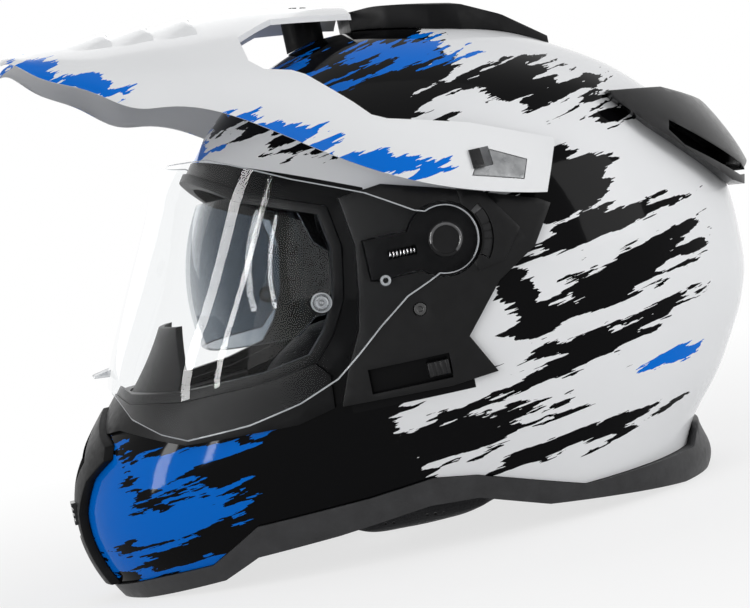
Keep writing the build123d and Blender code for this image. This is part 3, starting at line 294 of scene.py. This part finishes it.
# ---- clear parts
def clear_finish(name, tint, rough, fade=None, calm=None):
    """Thin clear plastic: tinted light through it, and a gloss that grows at a slant.

    Fade is the y, in millimetres, from which and to which a first tint turns into the main one, and
    that first tint. Calm is the y from which and to which the gloss dies away.
    """
    material, tree, place = new_finish(name)
    y = axes(tree, place)[1]
    color = tint
    if fade:
        start, stop, first_tint = fade
        color = blended(tree, ramped(tree, y, start * MM, stop * MM), first_tint, tint)
    through = shader(tree, "BsdfTransparent", {"Color": color}).outputs[0]
    wiped = ramped(tree, cloudy(tree, place, 26 * MM, 3.0), 0.35, 0.65, rough, rough + 0.02)
    gloss = shader(tree, "BsdfAnisotropic", {"Color": PURE_WHITE, "Roughness": wiped}).outputs[0]
    slant = shader(tree, "Fresnel", {"IOR": 1.45}).outputs[0]
    inside = shader(tree, "NewGeometry").outputs["Backfacing"]
    share = product(tree, product(tree, slant, CLEAR_GLOSS), inverse(tree, inside))
    if calm:
        share = product(tree, share, ramped(tree, y, calm[0] * MM, calm[1] * MM, 1, 0))
    surface(tree, layered(tree, share, through, gloss))
    return material


def cut_edge(name, color, cover, rough, rings=None):
    """Cut edge of a clear sheet, or a small clear part, laid over in patches of opaque colour; a pale
    colour there is a painted highlight for the light that the polished edge gathers, and on the tinted
    visor the colour is dark.

    Rings are the place of a pin in the side view and the pitch of the rings moulded round it; the
    colour is laid in bands along them, a painted highlight on the rings.
    """
    material, tree, place = new_finish(name)
    spots = ramped(tree, cloudy(tree, place, 7 * MM, 3.0), 0.3, 0.7, cover - 0.15, cover)
    if rings:
        pin_y, pin_z, pitch = rings
        flat = shader(tree, "Mapping", {"Vector": place, "Location": (0.0, pin_y, pin_z),
                                        "Scale": (1e3, 1.0, 1.0)}, vector_type="TEXTURE").outputs[0]
        wave = maths(tree, "COSINE", product(tree, length_of(tree, flat), 2 * math.pi / pitch))
        spots = product(tree, spots, ramped(tree, wave, -0.8, 0.8, 0.25, 1.0))
    through = shader(tree, "BsdfTransparent", {"Color": (0.95, 0.96, 0.97, 1)}).outputs[0]
    # opaque colour in patches: pale, it is a painted highlight on clear edges and pins; dark on the
    # visor's edge
    pale = shader(tree, "BsdfPrincipled", {"Base Color": color, "Roughness": rough,
                                           "Specular IOR Level": 0.6}).outputs[0]
    surface(tree, layered(tree, spots, through, pale))
    return material


# ---- cloth and foam
def dotted(tree, place, pitch, randomness):
    """Distance to the nearest of many dots, as a share of their pitch."""
    return shader(tree, "TexVoronoi", {"Vector": place, "Scale": 1 / pitch, "Randomness": randomness},
                  feature="F1").outputs["Distance"]


def knit(name, dark, light):
    """Brushed knit of the lining, with its small loops and its rows of holes."""
    material, tree, place = new_finish(name)
    loops = dotted(tree, place, 1.4 * MM, 0.35)
    fuzz = cloudy(tree, place, 0.5 * MM, 4.0, 0.7)
    worn = cloudy(tree, place, 22 * MM, 3.0)
    share = product(tree, ramped(tree, fuzz, 0.3, 0.7), ramped(tree, worn, 0.3, 0.7, 0.5, 1))
    whole = ramped(tree, dotted(tree, place, 3.6 * MM, 0.0), 0.14, 0.24)
    color = blended(tree, whole, (0.0015, 0.0015, 0.0015, 1), blended(tree, share, dark, light))
    height = maths(tree, "ADD", product(tree, loops, -0.8), product(tree, fuzz, 0.5))
    height = maths(tree, "ADD", height, product(tree, whole, 2.5))
    body = shader(tree, "BsdfPrincipled", {
        "Base Color": color, "Roughness": 0.92, "Specular IOR Level": 0.15, "Sheen Weight": 0.35,
        "Sheen Roughness": 0.45, "Normal": bumped(tree, height, 0.25 * MM, 0.7),
    })
    surface(tree, body.outputs[0])
    return material


def beaded_foam():
    """Black expanded foam with its pressed beads."""
    material, tree, place = new_finish("beaded_foam")
    cells = shader(tree, "TexVoronoi", {"Vector": place, "Scale": 1 / (3.2 * MM)},
                   feature="DISTANCE_TO_EDGE").outputs["Distance"]
    seam = ramped(tree, cells, 0.0, 0.12)
    color = blended(tree, seam, (0.008, 0.008, 0.008, 1), (0.026, 0.026, 0.028, 1))
    body = shader(tree, "BsdfPrincipled", {
        "Base Color": color, "Roughness": 0.7, "Specular IOR Level": 0.25,
        "Normal": bumped(tree, seam, 0.2 * MM, 0.6),
    })
    surface(tree, body.outputs[0])
    return material


def webbing():
    """Flat woven nylon with ribs across it."""
    material, tree, place = new_finish("webbing")
    x, y, z = axes(tree, place)
    rib = maths(tree, "SINE", product(tree, y, 2 * math.pi / (1.1 * MM)))
    weft = maths(tree, "SINE", product(tree, maths(tree, "ADD", x, z), 2 * math.pi / (1.6 * MM)))
    height = maths(tree, "ADD", rib, product(tree, weft, 0.5))
    fuzz = cloudy(tree, place, 0.4 * MM, 3.0)
    color = blended(tree, fuzz, (0.010, 0.010, 0.011, 1), (0.035, 0.035, 0.038, 1))
    body = shader(tree, "BsdfPrincipled", {
        "Base Color": color, "Roughness": 0.8, "Sheen Weight": 0.2, "Specular IOR Level": 0.2,
        "Normal": bumped(tree, height, 0.12 * MM, 0.7),
    })
    surface(tree, body.outputs[0])
    return material


GREY_BLACK = ((0.0035, 0.0035, 0.0038, 1), (0.007, 0.007, 0.0076, 1))
pin_low, pin_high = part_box("shield_lens_pins")
PIN_RINGS = ((pin_low.y + pin_high.y) / 2, (pin_low.z + pin_high.z) / 2, 2.1 * MM)
finishes = {
    "shell_paint": shell_paint(),
    "peak_white": peak_paint(),
    "matte_black": moulded("matte_black", *GREY_BLACK, 0.44),
    "black_plastic": moulded("black_plastic", *GREY_BLACK, 0.5),
    "control_black": moulded("control_black", (0.010, 0.010, 0.0106, 1), (0.016, 0.016, 0.017, 1), 0.3,
                             specular=0.2),
    "spoiler_black": moulded("spoiler_black", (0.008, 0.008, 0.0085, 1), (0.014, 0.014, 0.015, 1), 0.22,
                             depth=0.02 * MM, specular=0.16),
    "hub_black": moulded("hub_black", (0.004, 0.004, 0.0044, 1), (0.007, 0.007, 0.0076, 1), 0.2,
                         specular=0.16),
    "rubber_black": moulded("rubber_black", (0.020, 0.020, 0.021, 1), (0.034, 0.034, 0.036, 1), 0.5,
                            0.8 * MM, 0.06 * MM, specular=0.3),
    "panel_grey": moulded("panel_grey", (0.20, 0.205, 0.21, 1), (0.42, 0.425, 0.43, 1), 0.3, metal=0.3),
    "foam_black": beaded_foam(),
    "lining_fabric": knit("lining_knit", (0.010, 0.010, 0.011, 1), (0.045, 0.045, 0.048, 1)),
    "clear_shield": clear_finish("clear_shield", (0.978, 0.982, 0.984, 1), 0.01, calm=(-74, -52)),
    # clear_edge, clear_pin and clear_pin_boss lay pale paint on clear parts, a painted highlight for
    # the light their edges catch
    "clear_edge": cut_edge("clear_edge", (0.60, 0.62, 0.64, 1), 0.75, 0.2),
    "clear_pin": cut_edge("clear_pin", (0.70, 0.72, 0.74, 1), 0.6, 0.12, PIN_RINGS),
    "clear_pin_boss": cut_edge("clear_pin_boss", (0.66, 0.68, 0.70, 1), 0.5, 0.12),
    "tinted_visor": clear_finish("tinted_visor", (0.42, 0.455, 0.49, 1), 0.015,
                                 fade=(-94.5, -71.5, (0.76, 0.775, 0.79, 1))),
    "tinted_edge": cut_edge("tinted_edge", (0.05, 0.055, 0.065, 1), 0.95, 0.2),
    "cover_black": moulded("cover_black", (0.0045, 0.0045, 0.0048, 1), (0.0075, 0.0075, 0.008, 1), 0.36,
                           specular=0.16),
    # the rib's black is much lighter than the hub's, a painted highlight for its glints, beside its
    # real higher gloss
    "hub_rib_painted_glint": moulded("hub_rib_painted_glint", (0.03, 0.03, 0.032, 1), (0.05, 0.05, 0.052, 1), 0.16,
                       specular=0.8, depth=0.002 * MM),
    "spring_steel": moulded("spring_steel", (0.62, 0.62, 0.63, 1), (0.75, 0.75, 0.76, 1), 0.2,
                            specular=0.5, metal=1.0, depth=0.005 * MM),
    "screw_steel": moulded("screw_steel", (0.05, 0.05, 0.05, 1), (0.09, 0.09, 0.09, 1), 0.25,
                           specular=0.5, metal=0.9, depth=0.01 * MM),
    "buckle_steel": moulded("buckle_steel", (0.42, 0.42, 0.43, 1), (0.55, 0.55, 0.56, 1), 0.3,
                            specular=0.5, metal=1.0, depth=0.01 * MM),
    "lever_red": moulded("lever_red", (0.35, 0.01, 0.01, 1), (0.45, 0.015, 0.015, 1), 0.35),
    "webbing_black": webbing(),
}
slot_of = {row["node"]: row["material_slot"] for row in frame["record"]["subparts"]}
body_of = {n: body for body, members in frame["record"]["behaviour"]["bodies"].items() for n in members}
fixed_body = body_of["outer_shell"]


# ---- pieces
def select_only(piece):
    """Makes one piece the selected and active object."""
    bpy.ops.object.select_all(action="DESELECT")
    piece.select_set(True)
    bpy.context.view_layer.objects.active = piece


def place_piece(piece, body, finish, angle):
    """Rides a finished piece on its body and finish, smooth below an angle in degrees."""
    piece.data.materials.clear()
    piece.data.materials.append(finishes[finish])
    select_only(piece)
    bpy.ops.object.shade_smooth_by_angle(angle=math.radians(angle))
    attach(piece, body)


def welded(node):
    """Welded mesh of a CAD node."""
    mesh = bmesh.new()
    mesh.from_mesh(nodes[node].data)
    bmesh.ops.remove_doubles(mesh, verts=mesh.verts, dist=2e-6)
    return mesh


def piece_from(mesh, name):
    """Object made of a mesh that was worked out in code."""
    data = bpy.data.meshes.new(name)
    mesh.to_mesh(data)
    mesh.free()
    piece = bpy.data.objects.new(name, data)
    bpy.context.scene.collection.objects.link(piece)
    return piece


def apply_modifiers(piece):
    """Makes a piece's modifiers part of its mesh."""
    select_only(piece)
    for modifier in list(piece.modifiers):
        bpy.ops.object.modifier_apply(modifier=modifier.name)


unrounded = {
    "eps_liner", "chin_bar_liner", "sun_visor_bracket_left", "sun_visor_bracket_right",
    "peak_mount_block", "peak_stud_left", "peak_stud_right", "pivot_spring_left",
    "pivot_spring_right", "rear_vent_mesh", "shield_lens_pins", "strap_rivets", "outer_shell",
    "peak", "lower_rim_trim",
}
clear_sheets = {"face_shield": 0.45 * MM, "sun_visor": 0.4 * MM}
side_covers = {"side_cover_left": 0.4 * MM, "side_cover_right": 0.4 * MM}
outer_only = {**clear_sheets, **side_covers}  # rounded on their convex edges alone, by these widths
soft_nodes = {"crown_pad", "cheek_pad_left", "cheek_pad_right", "neck_roll", "strap_left",
              "strap_right"}
other_finish = {"peak_latch_panel_left": "panel_grey", "peak_latch_panel_right": "panel_grey",
                "eyeport_gasket": "matte_black", "side_cover_left": "cover_black",
                "side_cover_right": "cover_black"}


def softened(node):
    """The node's own shape, welded and smooth, with its sharp edges rounded over."""
    mesh = welded(node)
    bmesh.ops.dissolve_limit(mesh, angle_limit=math.radians(0.4), verts=mesh.verts, edges=mesh.edges)
    if node in outer_only:
        weight = mesh.edges.layers.float.new("bevel_weight_edge")
        for line in mesh.edges:
            sharp = line.is_manifold and line.calc_face_angle() > CREASE
            line[weight] = float(sharp and line.is_convex)
    piece = piece_from(mesh, node + "_dressed")
    if node not in unrounded:
        bevel = piece.modifiers.new("rounding", "BEVEL")
        bevel.width = outer_only.get(node, EDGE_ROUNDING)
        bevel.segments = 1 if node in clear_sheets else 2
        bevel.limit_method = "WEIGHT" if node in outer_only else "ANGLE"
        bevel.angle_limit = CREASE
        bevel.use_clamp_overlap = node not in clear_sheets
        apply_modifiers(piece)
    slot = slot_of[node]
    place_piece(piece, body_of[node], other_finish.get(node, slot), 32)
    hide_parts(node)
    return piece


dressed = {node: softened(node) for node in sorted(nodes) if node not in soft_nodes}


def cut_edges(piece, finish):
    """Gives the narrow cut faces of a clear piece their own finish.

    Faces that meet at less than a slight angle make one region. A region that is small beside the
    largest one is a cut face.
    """
    slight_angle = math.radians(38)
    small_share = 0.3
    mesh = bmesh.new()
    mesh.from_mesh(piece.data)
    mesh.faces.ensure_lookup_table()
    region = {}
    areas = []
    for first in mesh.faces:
        if first.index in region:
            continue
        stack = [first]
        region[first.index] = len(areas)
        total = 0.0
        while stack:
            face = stack.pop()
            total += face.calc_area()
            for edge in face.edges:
                if len(edge.link_faces) == 2 and edge.calc_face_angle() < slight_angle:
                    for other in edge.link_faces:
                        if other.index not in region:
                            region[other.index] = len(areas)
                            stack.append(other)
        areas.append(total)
    limit = small_share * max(areas)
    narrow = [areas[region[index]] < limit for index in range(len(mesh.faces))]
    mesh.free()
    piece.data.materials.append(finishes[finish])
    for face, is_narrow in zip(piece.data.polygons, narrow):
        face.material_index = int(is_narrow)


def widened_spring(piece, share, lift):
    """Detent spring grown to fill its channel, round its own line, and lifted towards its mouth."""
    low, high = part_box(piece.name.removesuffix("_dressed"))
    line = (low + high) / 2
    side = math.copysign(1.0, line.x)
    for vert in piece.data.vertices:
        vert.co.x = line.x + (vert.co.x - line.x) * share + side * lift
        vert.co.z = line.z + (vert.co.z - line.z) * share


for side, _ in SIDES:
    widened_spring(dressed["pivot_spring_" + side], 1.22, 0.35 * MM)


def form_fit(turn, level, out):
    """Smooth form of a clear sheet, as its distance out from the upright line through the pivot.

    It is fitted in even powers of the turn round that line, as both sides are alike, and in powers
    of the height. The result gives the form's normal at a turn and a height.
    """
    powers = [(i, j) for i in range(0, 11, 2) for j in range(5)]
    terms = numpy.stack([turn ** i * level ** j for i, j in powers], axis=1)
    shares = numpy.linalg.lstsq(terms, out, rcond=None)[0]

    def normal(turn, level):
        reach = sum(c * turn ** i * level ** j for c, (i, j) in zip(shares, powers))
        by_turn = sum(c * i * turn ** max(i - 1, 0) * level ** j for c, (i, j) in zip(shares, powers))
        by_level = sum(c * j * turn ** i * level ** max(j - 1, 0) for c, (i, j) in zip(shares, powers))
        slope = by_turn / reach
        found = numpy.stack([numpy.sin(turn) - slope * numpy.cos(turn),
                             -numpy.cos(turn) - slope * numpy.sin(turn),
                             -by_level / FORM_HEIGHT], axis=1)
        return found / numpy.linalg.norm(found, axis=1)[:, None]

    return normal


def clear_sheet(piece, finish):
    """Shades both faces of a clear sheet by a fitted smooth form, so that its glints run straight.

    Faces that leave the form, which are its cut edges and their chamfers, get the edge's finish.
    """
    data = piece.data
    facing_enough = 0.6
    close_to_form = math.cos(math.radians(28))

    def read(rows, name):
        values = numpy.empty(len(rows) * 3)
        rows.foreach_get(name, values)
        return values.reshape(-1, 3)

    def round_pivot(points):
        points = points - numpy.array(PIVOT)
        return (numpy.arctan2(points[:, 0], -points[:, 1]), points[:, 2] / FORM_HEIGHT,
                numpy.hypot(points[:, 0], points[:, 1]))

    corners = round_pivot(read(data.vertices, "co"))
    middles = round_pivot(read(data.polygons, "center"))
    facing = read(data.polygons, "normal")
    outward = facing[:, 0] * numpy.sin(middles[0]) - facing[:, 1] * numpy.cos(middles[0])
    vertex_of = numpy.empty(len(data.loops), dtype=int)
    data.loops.foreach_get("vertex_index", vertex_of)
    shading = numpy.zeros((len(data.loops), 3))
    on_edge = numpy.ones(len(data.polygons), dtype=int)
    for side in (1, -1):
        kept = side * outward > facing_enough
        for _ in range(2):
            loops = [index for face in data.polygons if kept[face.index] for index in face.loop_indices]
            used = numpy.unique(vertex_of[loops])
            normal = form_fit(*(values[used] for values in corners))
            kept = (side * normal(*middles[:2]) * facing).sum(axis=1) > close_to_form
        loops = [index for face in data.polygons if kept[face.index] for index in face.loop_indices]
        shading[loops] = side * normal(*corners[:2])[vertex_of[loops]]
        on_edge[kept] = 0
    data.materials.append(finishes[finish])
    data.polygons.foreach_set("material_index", on_edge)
    data.normals_split_custom_set(shading.tolist())


cut_edges(dressed["shield_tab"], "clear_edge")
clear_sheet(dressed["face_shield"], "clear_edge")
clear_sheet(dressed["sun_visor"], "tinted_edge")


# ---- padded lining
def reshaped(piece, moved):
    """Moves every vertex by a rule of its place and normal, all read before any is moved."""
    read = [(vert.co.copy(), vert.normal.copy()) for vert in piece.data.vertices]
    flat = [value for start, normal in read for value in moved(start, normal)]
    piece.data.vertices.foreach_set("co", flat)
    piece.data.update()


def seam_depth(distance, half_width, depth):
    """Depth of a sewn channel at a distance from its seam."""
    if distance >= half_width:
        return 0.0
    return depth * (1 - distance / half_width) ** 2 * (1 + 2 * distance / half_width)


def inner_share(start, normal):
    """1 where a cushion faces the middle of the head, 0 on its backing."""
    return max(0.0, normal.dot((HEAD_MIDDLE - start).normalized()))


def padded_piece(node, voxel, cap, seams):
    """Cushion in place of a soft solid: swelled as cloth, held at its backing, and quilted.

    A seam is a point on it, the direction across it, its half width and its depth, in millimetres.
    No point swells further than the cap.
    """
    slack = 0.8 * MM
    piece = piece_from(welded(node), node + "_cushion")
    remesh = piece.modifiers.new("even_cloth", "REMESH")
    remesh.mode = "VOXEL"
    remesh.voxel_size = voxel
    smooth = piece.modifiers.new("worn_corners", "SMOOTH")
    smooth.factor = 0.5
    smooth.iterations = 6
    apply_modifiers(piece)
    rest = [vert.co.copy() for vert in piece.data.vertices]
    outward = [vert.normal.copy() for vert in piece.data.vertices]
    swelled = rest
    cloth = piece.modifiers.new("swell", "CLOTH")
    cloth.settings.use_pressure = True
    cloth.settings.uniform_pressure_force = 4.0
    cloth.settings.effector_weights.gravity = 0.0
    cloth.settings.quality = 5
    for count in range(1, 21):
        bpy.context.scene.frame_set(count)
    seen = piece.evaluated_get(bpy.context.evaluated_depsgraph_get())
    swelled = [vert.co.copy() for vert in seen.data.vertices]
    piece.modifiers.remove(cloth)
    bpy.context.scene.frame_set(1)
    flat = []
    for start, stop, normal in zip(rest, swelled, outward):
        move = stop - start
        if move.length > cap:
            move = move.normalized() * cap
        flat.extend(start + move * inner_share(start, normal) - normal * slack)
    piece.data.vertices.foreach_set("co", flat)
    piece.data.update()
    finer = piece.modifiers.new("finer", "SUBSURF")
    finer.levels = 1
    finer.render_levels = 1
    apply_modifiers(piece)

    def quilted(start, normal):
        sink = 0.0
        for point, across, half_width, depth in seams:
            distance = abs((start - Vector(point) * MM).dot(Vector(across).normalized()))
            sink = max(sink, seam_depth(distance, half_width * MM, depth * MM))
        ripple = noise.noise(start / (16 * MM)) * 0.35 * MM
        held = min(1.0, 2 * inner_share(start, normal))
        return start - normal * (sink * held + max(0.0, ripple))

    reshaped(piece, quilted)
    place_piece(piece, body_of[node], "lining_fabric", 60)
    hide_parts(node)


padded_piece("crown_pad", 5 * MM, 4 * MM, (
    ((0, 0, 0), (1, 0, 0), 5, 2.2), ((40, 0, 0), (1, 0, 0.25), 5, 2.2),
    ((-40, 0, 0), (1, 0, -0.25), 5, 2.2), ((0, 20, 0), (0, 1, 0), 5, 2.0),
    ((0, 72, 0), (0, 1, 0.35), 5, 2.0), ((0, -42, 0), (0, 1, -0.35), 5, 2.0),
))
for side, _ in SIDES:
    padded_piece("cheek_pad_" + side, 4 * MM, 5 * MM, (
        ((0, -20, 0), (0, 1, 0.5), 4, 2.0), ((0, 0, 62), (0, -0.25, 1), 4, 2.0),
        ((0, -48, 0), (0, 1, -0.15), 4, 1.6),
    ))
padded_piece("neck_roll", 4 * MM, 4 * MM, (
    ((0, 0, 0), (1, 0, 0), 4, 1.6), ((45, 0, 0), (1, 0.4, 0), 4, 1.6),
    ((-45, 0, 0), (1, -0.4, 0), 4, 1.6),
))


# ---- chin straps
def webbing_strap(side):
    """Woven strap half with rounded edges and slight waves in its faces."""
    node = "strap_" + side
    wave_depth = 0.08 * MM
    piece = piece_from(welded(node), node + "_webbing")
    for name, kind, settings in (
        ("even_weave", "REMESH", {"mode": "VOXEL", "voxel_size": 0.6 * MM}),
        ("soft_edges", "SMOOTH", {"factor": 0.5, "iterations": 3}),
    ):
        step = piece.modifiers.new(name, kind)
        for key, value in settings.items():
            setattr(step, key, value)
    apply_modifiers(piece)
    reshaped(piece, lambda start, normal: start - normal * (
        wave_depth * (1 + noise.noise(start / (9 * MM)))))
    place_piece(piece, body_of[node], "webbing_black", 60)
    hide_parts(node)


for side, _ in SIDES:
    webbing_strap(side)


# ---- details on the hard parts
def surface_of(name):
    """Dressed piece's surface, ready for rays to be cast on it."""
    mesh = bmesh.new()
    mesh.from_mesh(dressed[name].data)
    tree = BVHTree.FromBMesh(mesh)
    mesh.free()
    return tree


def scoop(name, middle_x, middle_y, wide, long, rise, peak_top):
    """Scalloped louvre on top of the peak, rising to the rear and dropping off behind its lip."""
    bow, lip_start, drop = 0.16, 0.84, 0.09
    sunk = 0.15 * MM
    bpy.ops.object.select_all(action="DESELECT")
    bpy.ops.mesh.primitive_grid_add(x_subdivisions=28, y_subdivisions=36, size=1)
    piece = bpy.context.active_object
    piece.name = name
    for vert in piece.data.vertices:
        across, along = vert.co.x * 2, vert.co.y + 0.5
        bowed = along - bow * across * across
        climb = max(0.0, min(1.0, bowed / lip_start))
        behind = max(0.0, min(1.0, (1 - bowed) / drop))
        height = rise * (climb ** 1.5) * behind * (1 - abs(across) ** 3)
        x = middle_x + across * wide / 2 * (1 - 0.12 * along)
        y = middle_y + (along - 0.5) * long
        hit = peak_top.ray_cast(Vector((x, y, 0.4)), Vector((0, 0, -1)))
        vert.co = (x, y, hit[0].z + height - sunk)
    thick = piece.modifiers.new("wall", "SOLIDIFY")
    thick.thickness = 1.2 * MM
    thick.offset = -1
    apply_modifiers(piece)
    place_piece(piece, body_of["peak"], "peak_white", 40)


peak_top = surface_of("peak")
for number, (middle_y, reach) in enumerate(((-118.5, 19), (-100.5, 21), (-81.5, 23))):
    for side, sign in SIDES:
        scoop(f"peak_scoop_{number}_{side}", sign * (reach + 6) * MM, middle_y * MM, 2 * reach * MM,
              23 * MM, 2.6 * MM, peak_top)


def hub_ring(side, sign):
    """Open C-shaped rib round the shield's pivot, open below and to the front."""
    open_from, open_to = -175, -60
    low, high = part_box("pivot_cap_" + side)
    outer_x = high.x if sign > 0 else low.x
    bpy.ops.object.select_all(action="DESELECT")
    bpy.ops.mesh.primitive_torus_add(
        location=(outer_x - sign * 0.05 * MM, PIVOT.y, PIVOT.z), rotation=(0, math.pi / 2, 0),
        major_radius=6.3 * MM, minor_radius=0.7 * MM, major_segments=72, minor_segments=10,
    )
    piece = bpy.context.active_object
    piece.name = "hub_ring_" + side
    bpy.ops.object.transform_apply(location=True, rotation=True, scale=True)
    mesh = bmesh.new()
    mesh.from_mesh(piece.data)
    gone = []
    for vert in mesh.verts:
        turn = math.degrees(math.atan2(vert.co.z - PIVOT.z, vert.co.y - PIVOT.y))
        if open_from < turn < open_to:
            gone.append(vert)
    bmesh.ops.delete(mesh, geom=gone, context="VERTS")
    bmesh.ops.holes_fill(mesh, edges=[edge for edge in mesh.edges if edge.is_boundary])
    mesh.to_mesh(piece.data)
    mesh.free()
    # the rib's lighter colour is a painted highlight
    place_piece(piece, fixed_body, "hub_rib_painted_glint", 50)


def shield_lug(side, sign):
    """Small clear moulded boss on the shield's arm, with a well in its middle."""
    place = Vector((sign * 0.3, PIVOT.y - 28 * MM, PIVOT.z - 11.5 * MM))
    hit = surface_of("face_shield").ray_cast(place, Vector((-sign, 0, 0)))
    bpy.ops.object.select_all(action="DESELECT")
    bpy.ops.mesh.primitive_torus_add(
        location=hit[0], rotation=hit[1].to_track_quat("Z", "Y").to_euler(),
        major_radius=1.7 * MM, minor_radius=0.6 * MM, major_segments=36, minor_segments=12,
    )
    piece = bpy.context.active_object
    piece.name = "shield_lug_" + side
    bpy.ops.object.transform_apply(location=True, rotation=True, scale=True)
    # the boss's pale patches are a painted highlight
    place_piece(piece, body_of["face_shield"], "clear_pin_boss", 50)


for side, sign in SIDES:
    hub_ring(side, sign)
    shield_lug(side, sign)


# ---- studio
def area_lamp(name, place, aim, width, height, power, lit=True):
    """Rectangular studio lamp aimed at a point; one that isn't lit only shows as a glint."""
    data = bpy.data.lights.new(name, "AREA")
    data.shape = "RECTANGLE"
    data.size = width
    data.size_y = height
    data.energy = power
    lamp = bpy.data.objects.new(name, data)
    bpy.context.scene.collection.objects.link(lamp)
    lamp.location = place
    lamp.visible_diffuse = lit
    lamp.rotation_euler = (Vector(aim) - Vector(place)).to_track_quat("-Z", "Y").to_euler()


area_lamp("overhead", (0.35, -0.1, 1.55), STUDIO_MIDDLE, 1.3, 1.3, 2.4)
area_lamp("front_side", (1.4, -1.1, 0.55), STUDIO_MIDDLE, 0.9, 1.2, 6.2)
area_lamp("rear_side", (1.1, 1.5, 0.45), STUDIO_MIDDLE, 0.9, 1.1, 13)
area_lamp("far_side", (-1.5, -0.3, 0.8), STUDIO_MIDDLE, 1.2, 1.2, 5)
area_lamp("shield_strip", (0.165, -1.08, 0.47), (0.0, -0.1, 0.12), 0.13, 0.95, 11, False)
area_lamp("visor_strip", (0.51, -1.0, 0.42), (0.06, -0.05, 0.13), 0.06, 0.85, 6, False)

world = bpy.data.worlds.new("studio")
bpy.context.scene.world = world
world.use_nodes = True
tree = world.node_tree
tree.nodes.clear()
dim = shader(tree, "Background", {"Color": (0.97, 0.98, 1.0, 1), "Strength": 0.5}).outputs[0]
bright = shader(tree, "Background", {"Color": PURE_WHITE, "Strength": 1.0}).outputs[0]
shader(tree, "OutputWorld", {"Surface": layered(tree, seen_directly(tree), dim, bright)})

bpy.ops.object.select_all(action="DESELECT")
bpy.ops.mesh.primitive_plane_add(size=12, location=(0, 0, -0.3 * MM))
floor = bpy.context.active_object
floor.name = "floor"
material, tree, place = new_finish("floor_white")
matte = shader(tree, "BsdfDiffuse", {"Color": (0.85, 0.85, 0.85, 1)}).outputs[0]
glow = shader(tree, "Emission", {"Color": PURE_WHITE, "Strength": 1.0}).outputs[0]
outward = ramped(tree, length_of(tree, place), 0.2, 0.7, 0.72, 1.0)
surface(tree, layered(tree, product(tree, seen_directly(tree), outward), matte, glow))
floor.data.materials.append(material)

# ---- camera, a little ahead of the side and above the hub, rolled by 12.5 degrees
eye_target = Vector((0.0, -7.556, 126.8)) * MM
eye = eye_target + Vector((1237.8, -169.9, 37.7)) * MM
lean = Vector((0.0, 0.2164, 0.9763))  # the picture's upward direction in the side view
aim = eye_target - lean * 23.46 * MM
ahead = (aim - eye).normalized()
right = ahead.cross(lean).normalized()
upward = right.cross(ahead)
camera_data = bpy.data.cameras.new("camera")
camera_data.lens = 130.4
camera_data.sensor_width = 36.0
camera = bpy.data.objects.new("camera", camera_data)
bpy.context.scene.collection.objects.link(camera)
camera.matrix_world = Matrix.Translation(eye) @ Matrix((right, upward, -ahead)).transposed().to_4x4()
bpy.context.scene.camera = camera
bpy.context.scene.view_settings.view_transform = "Standard"
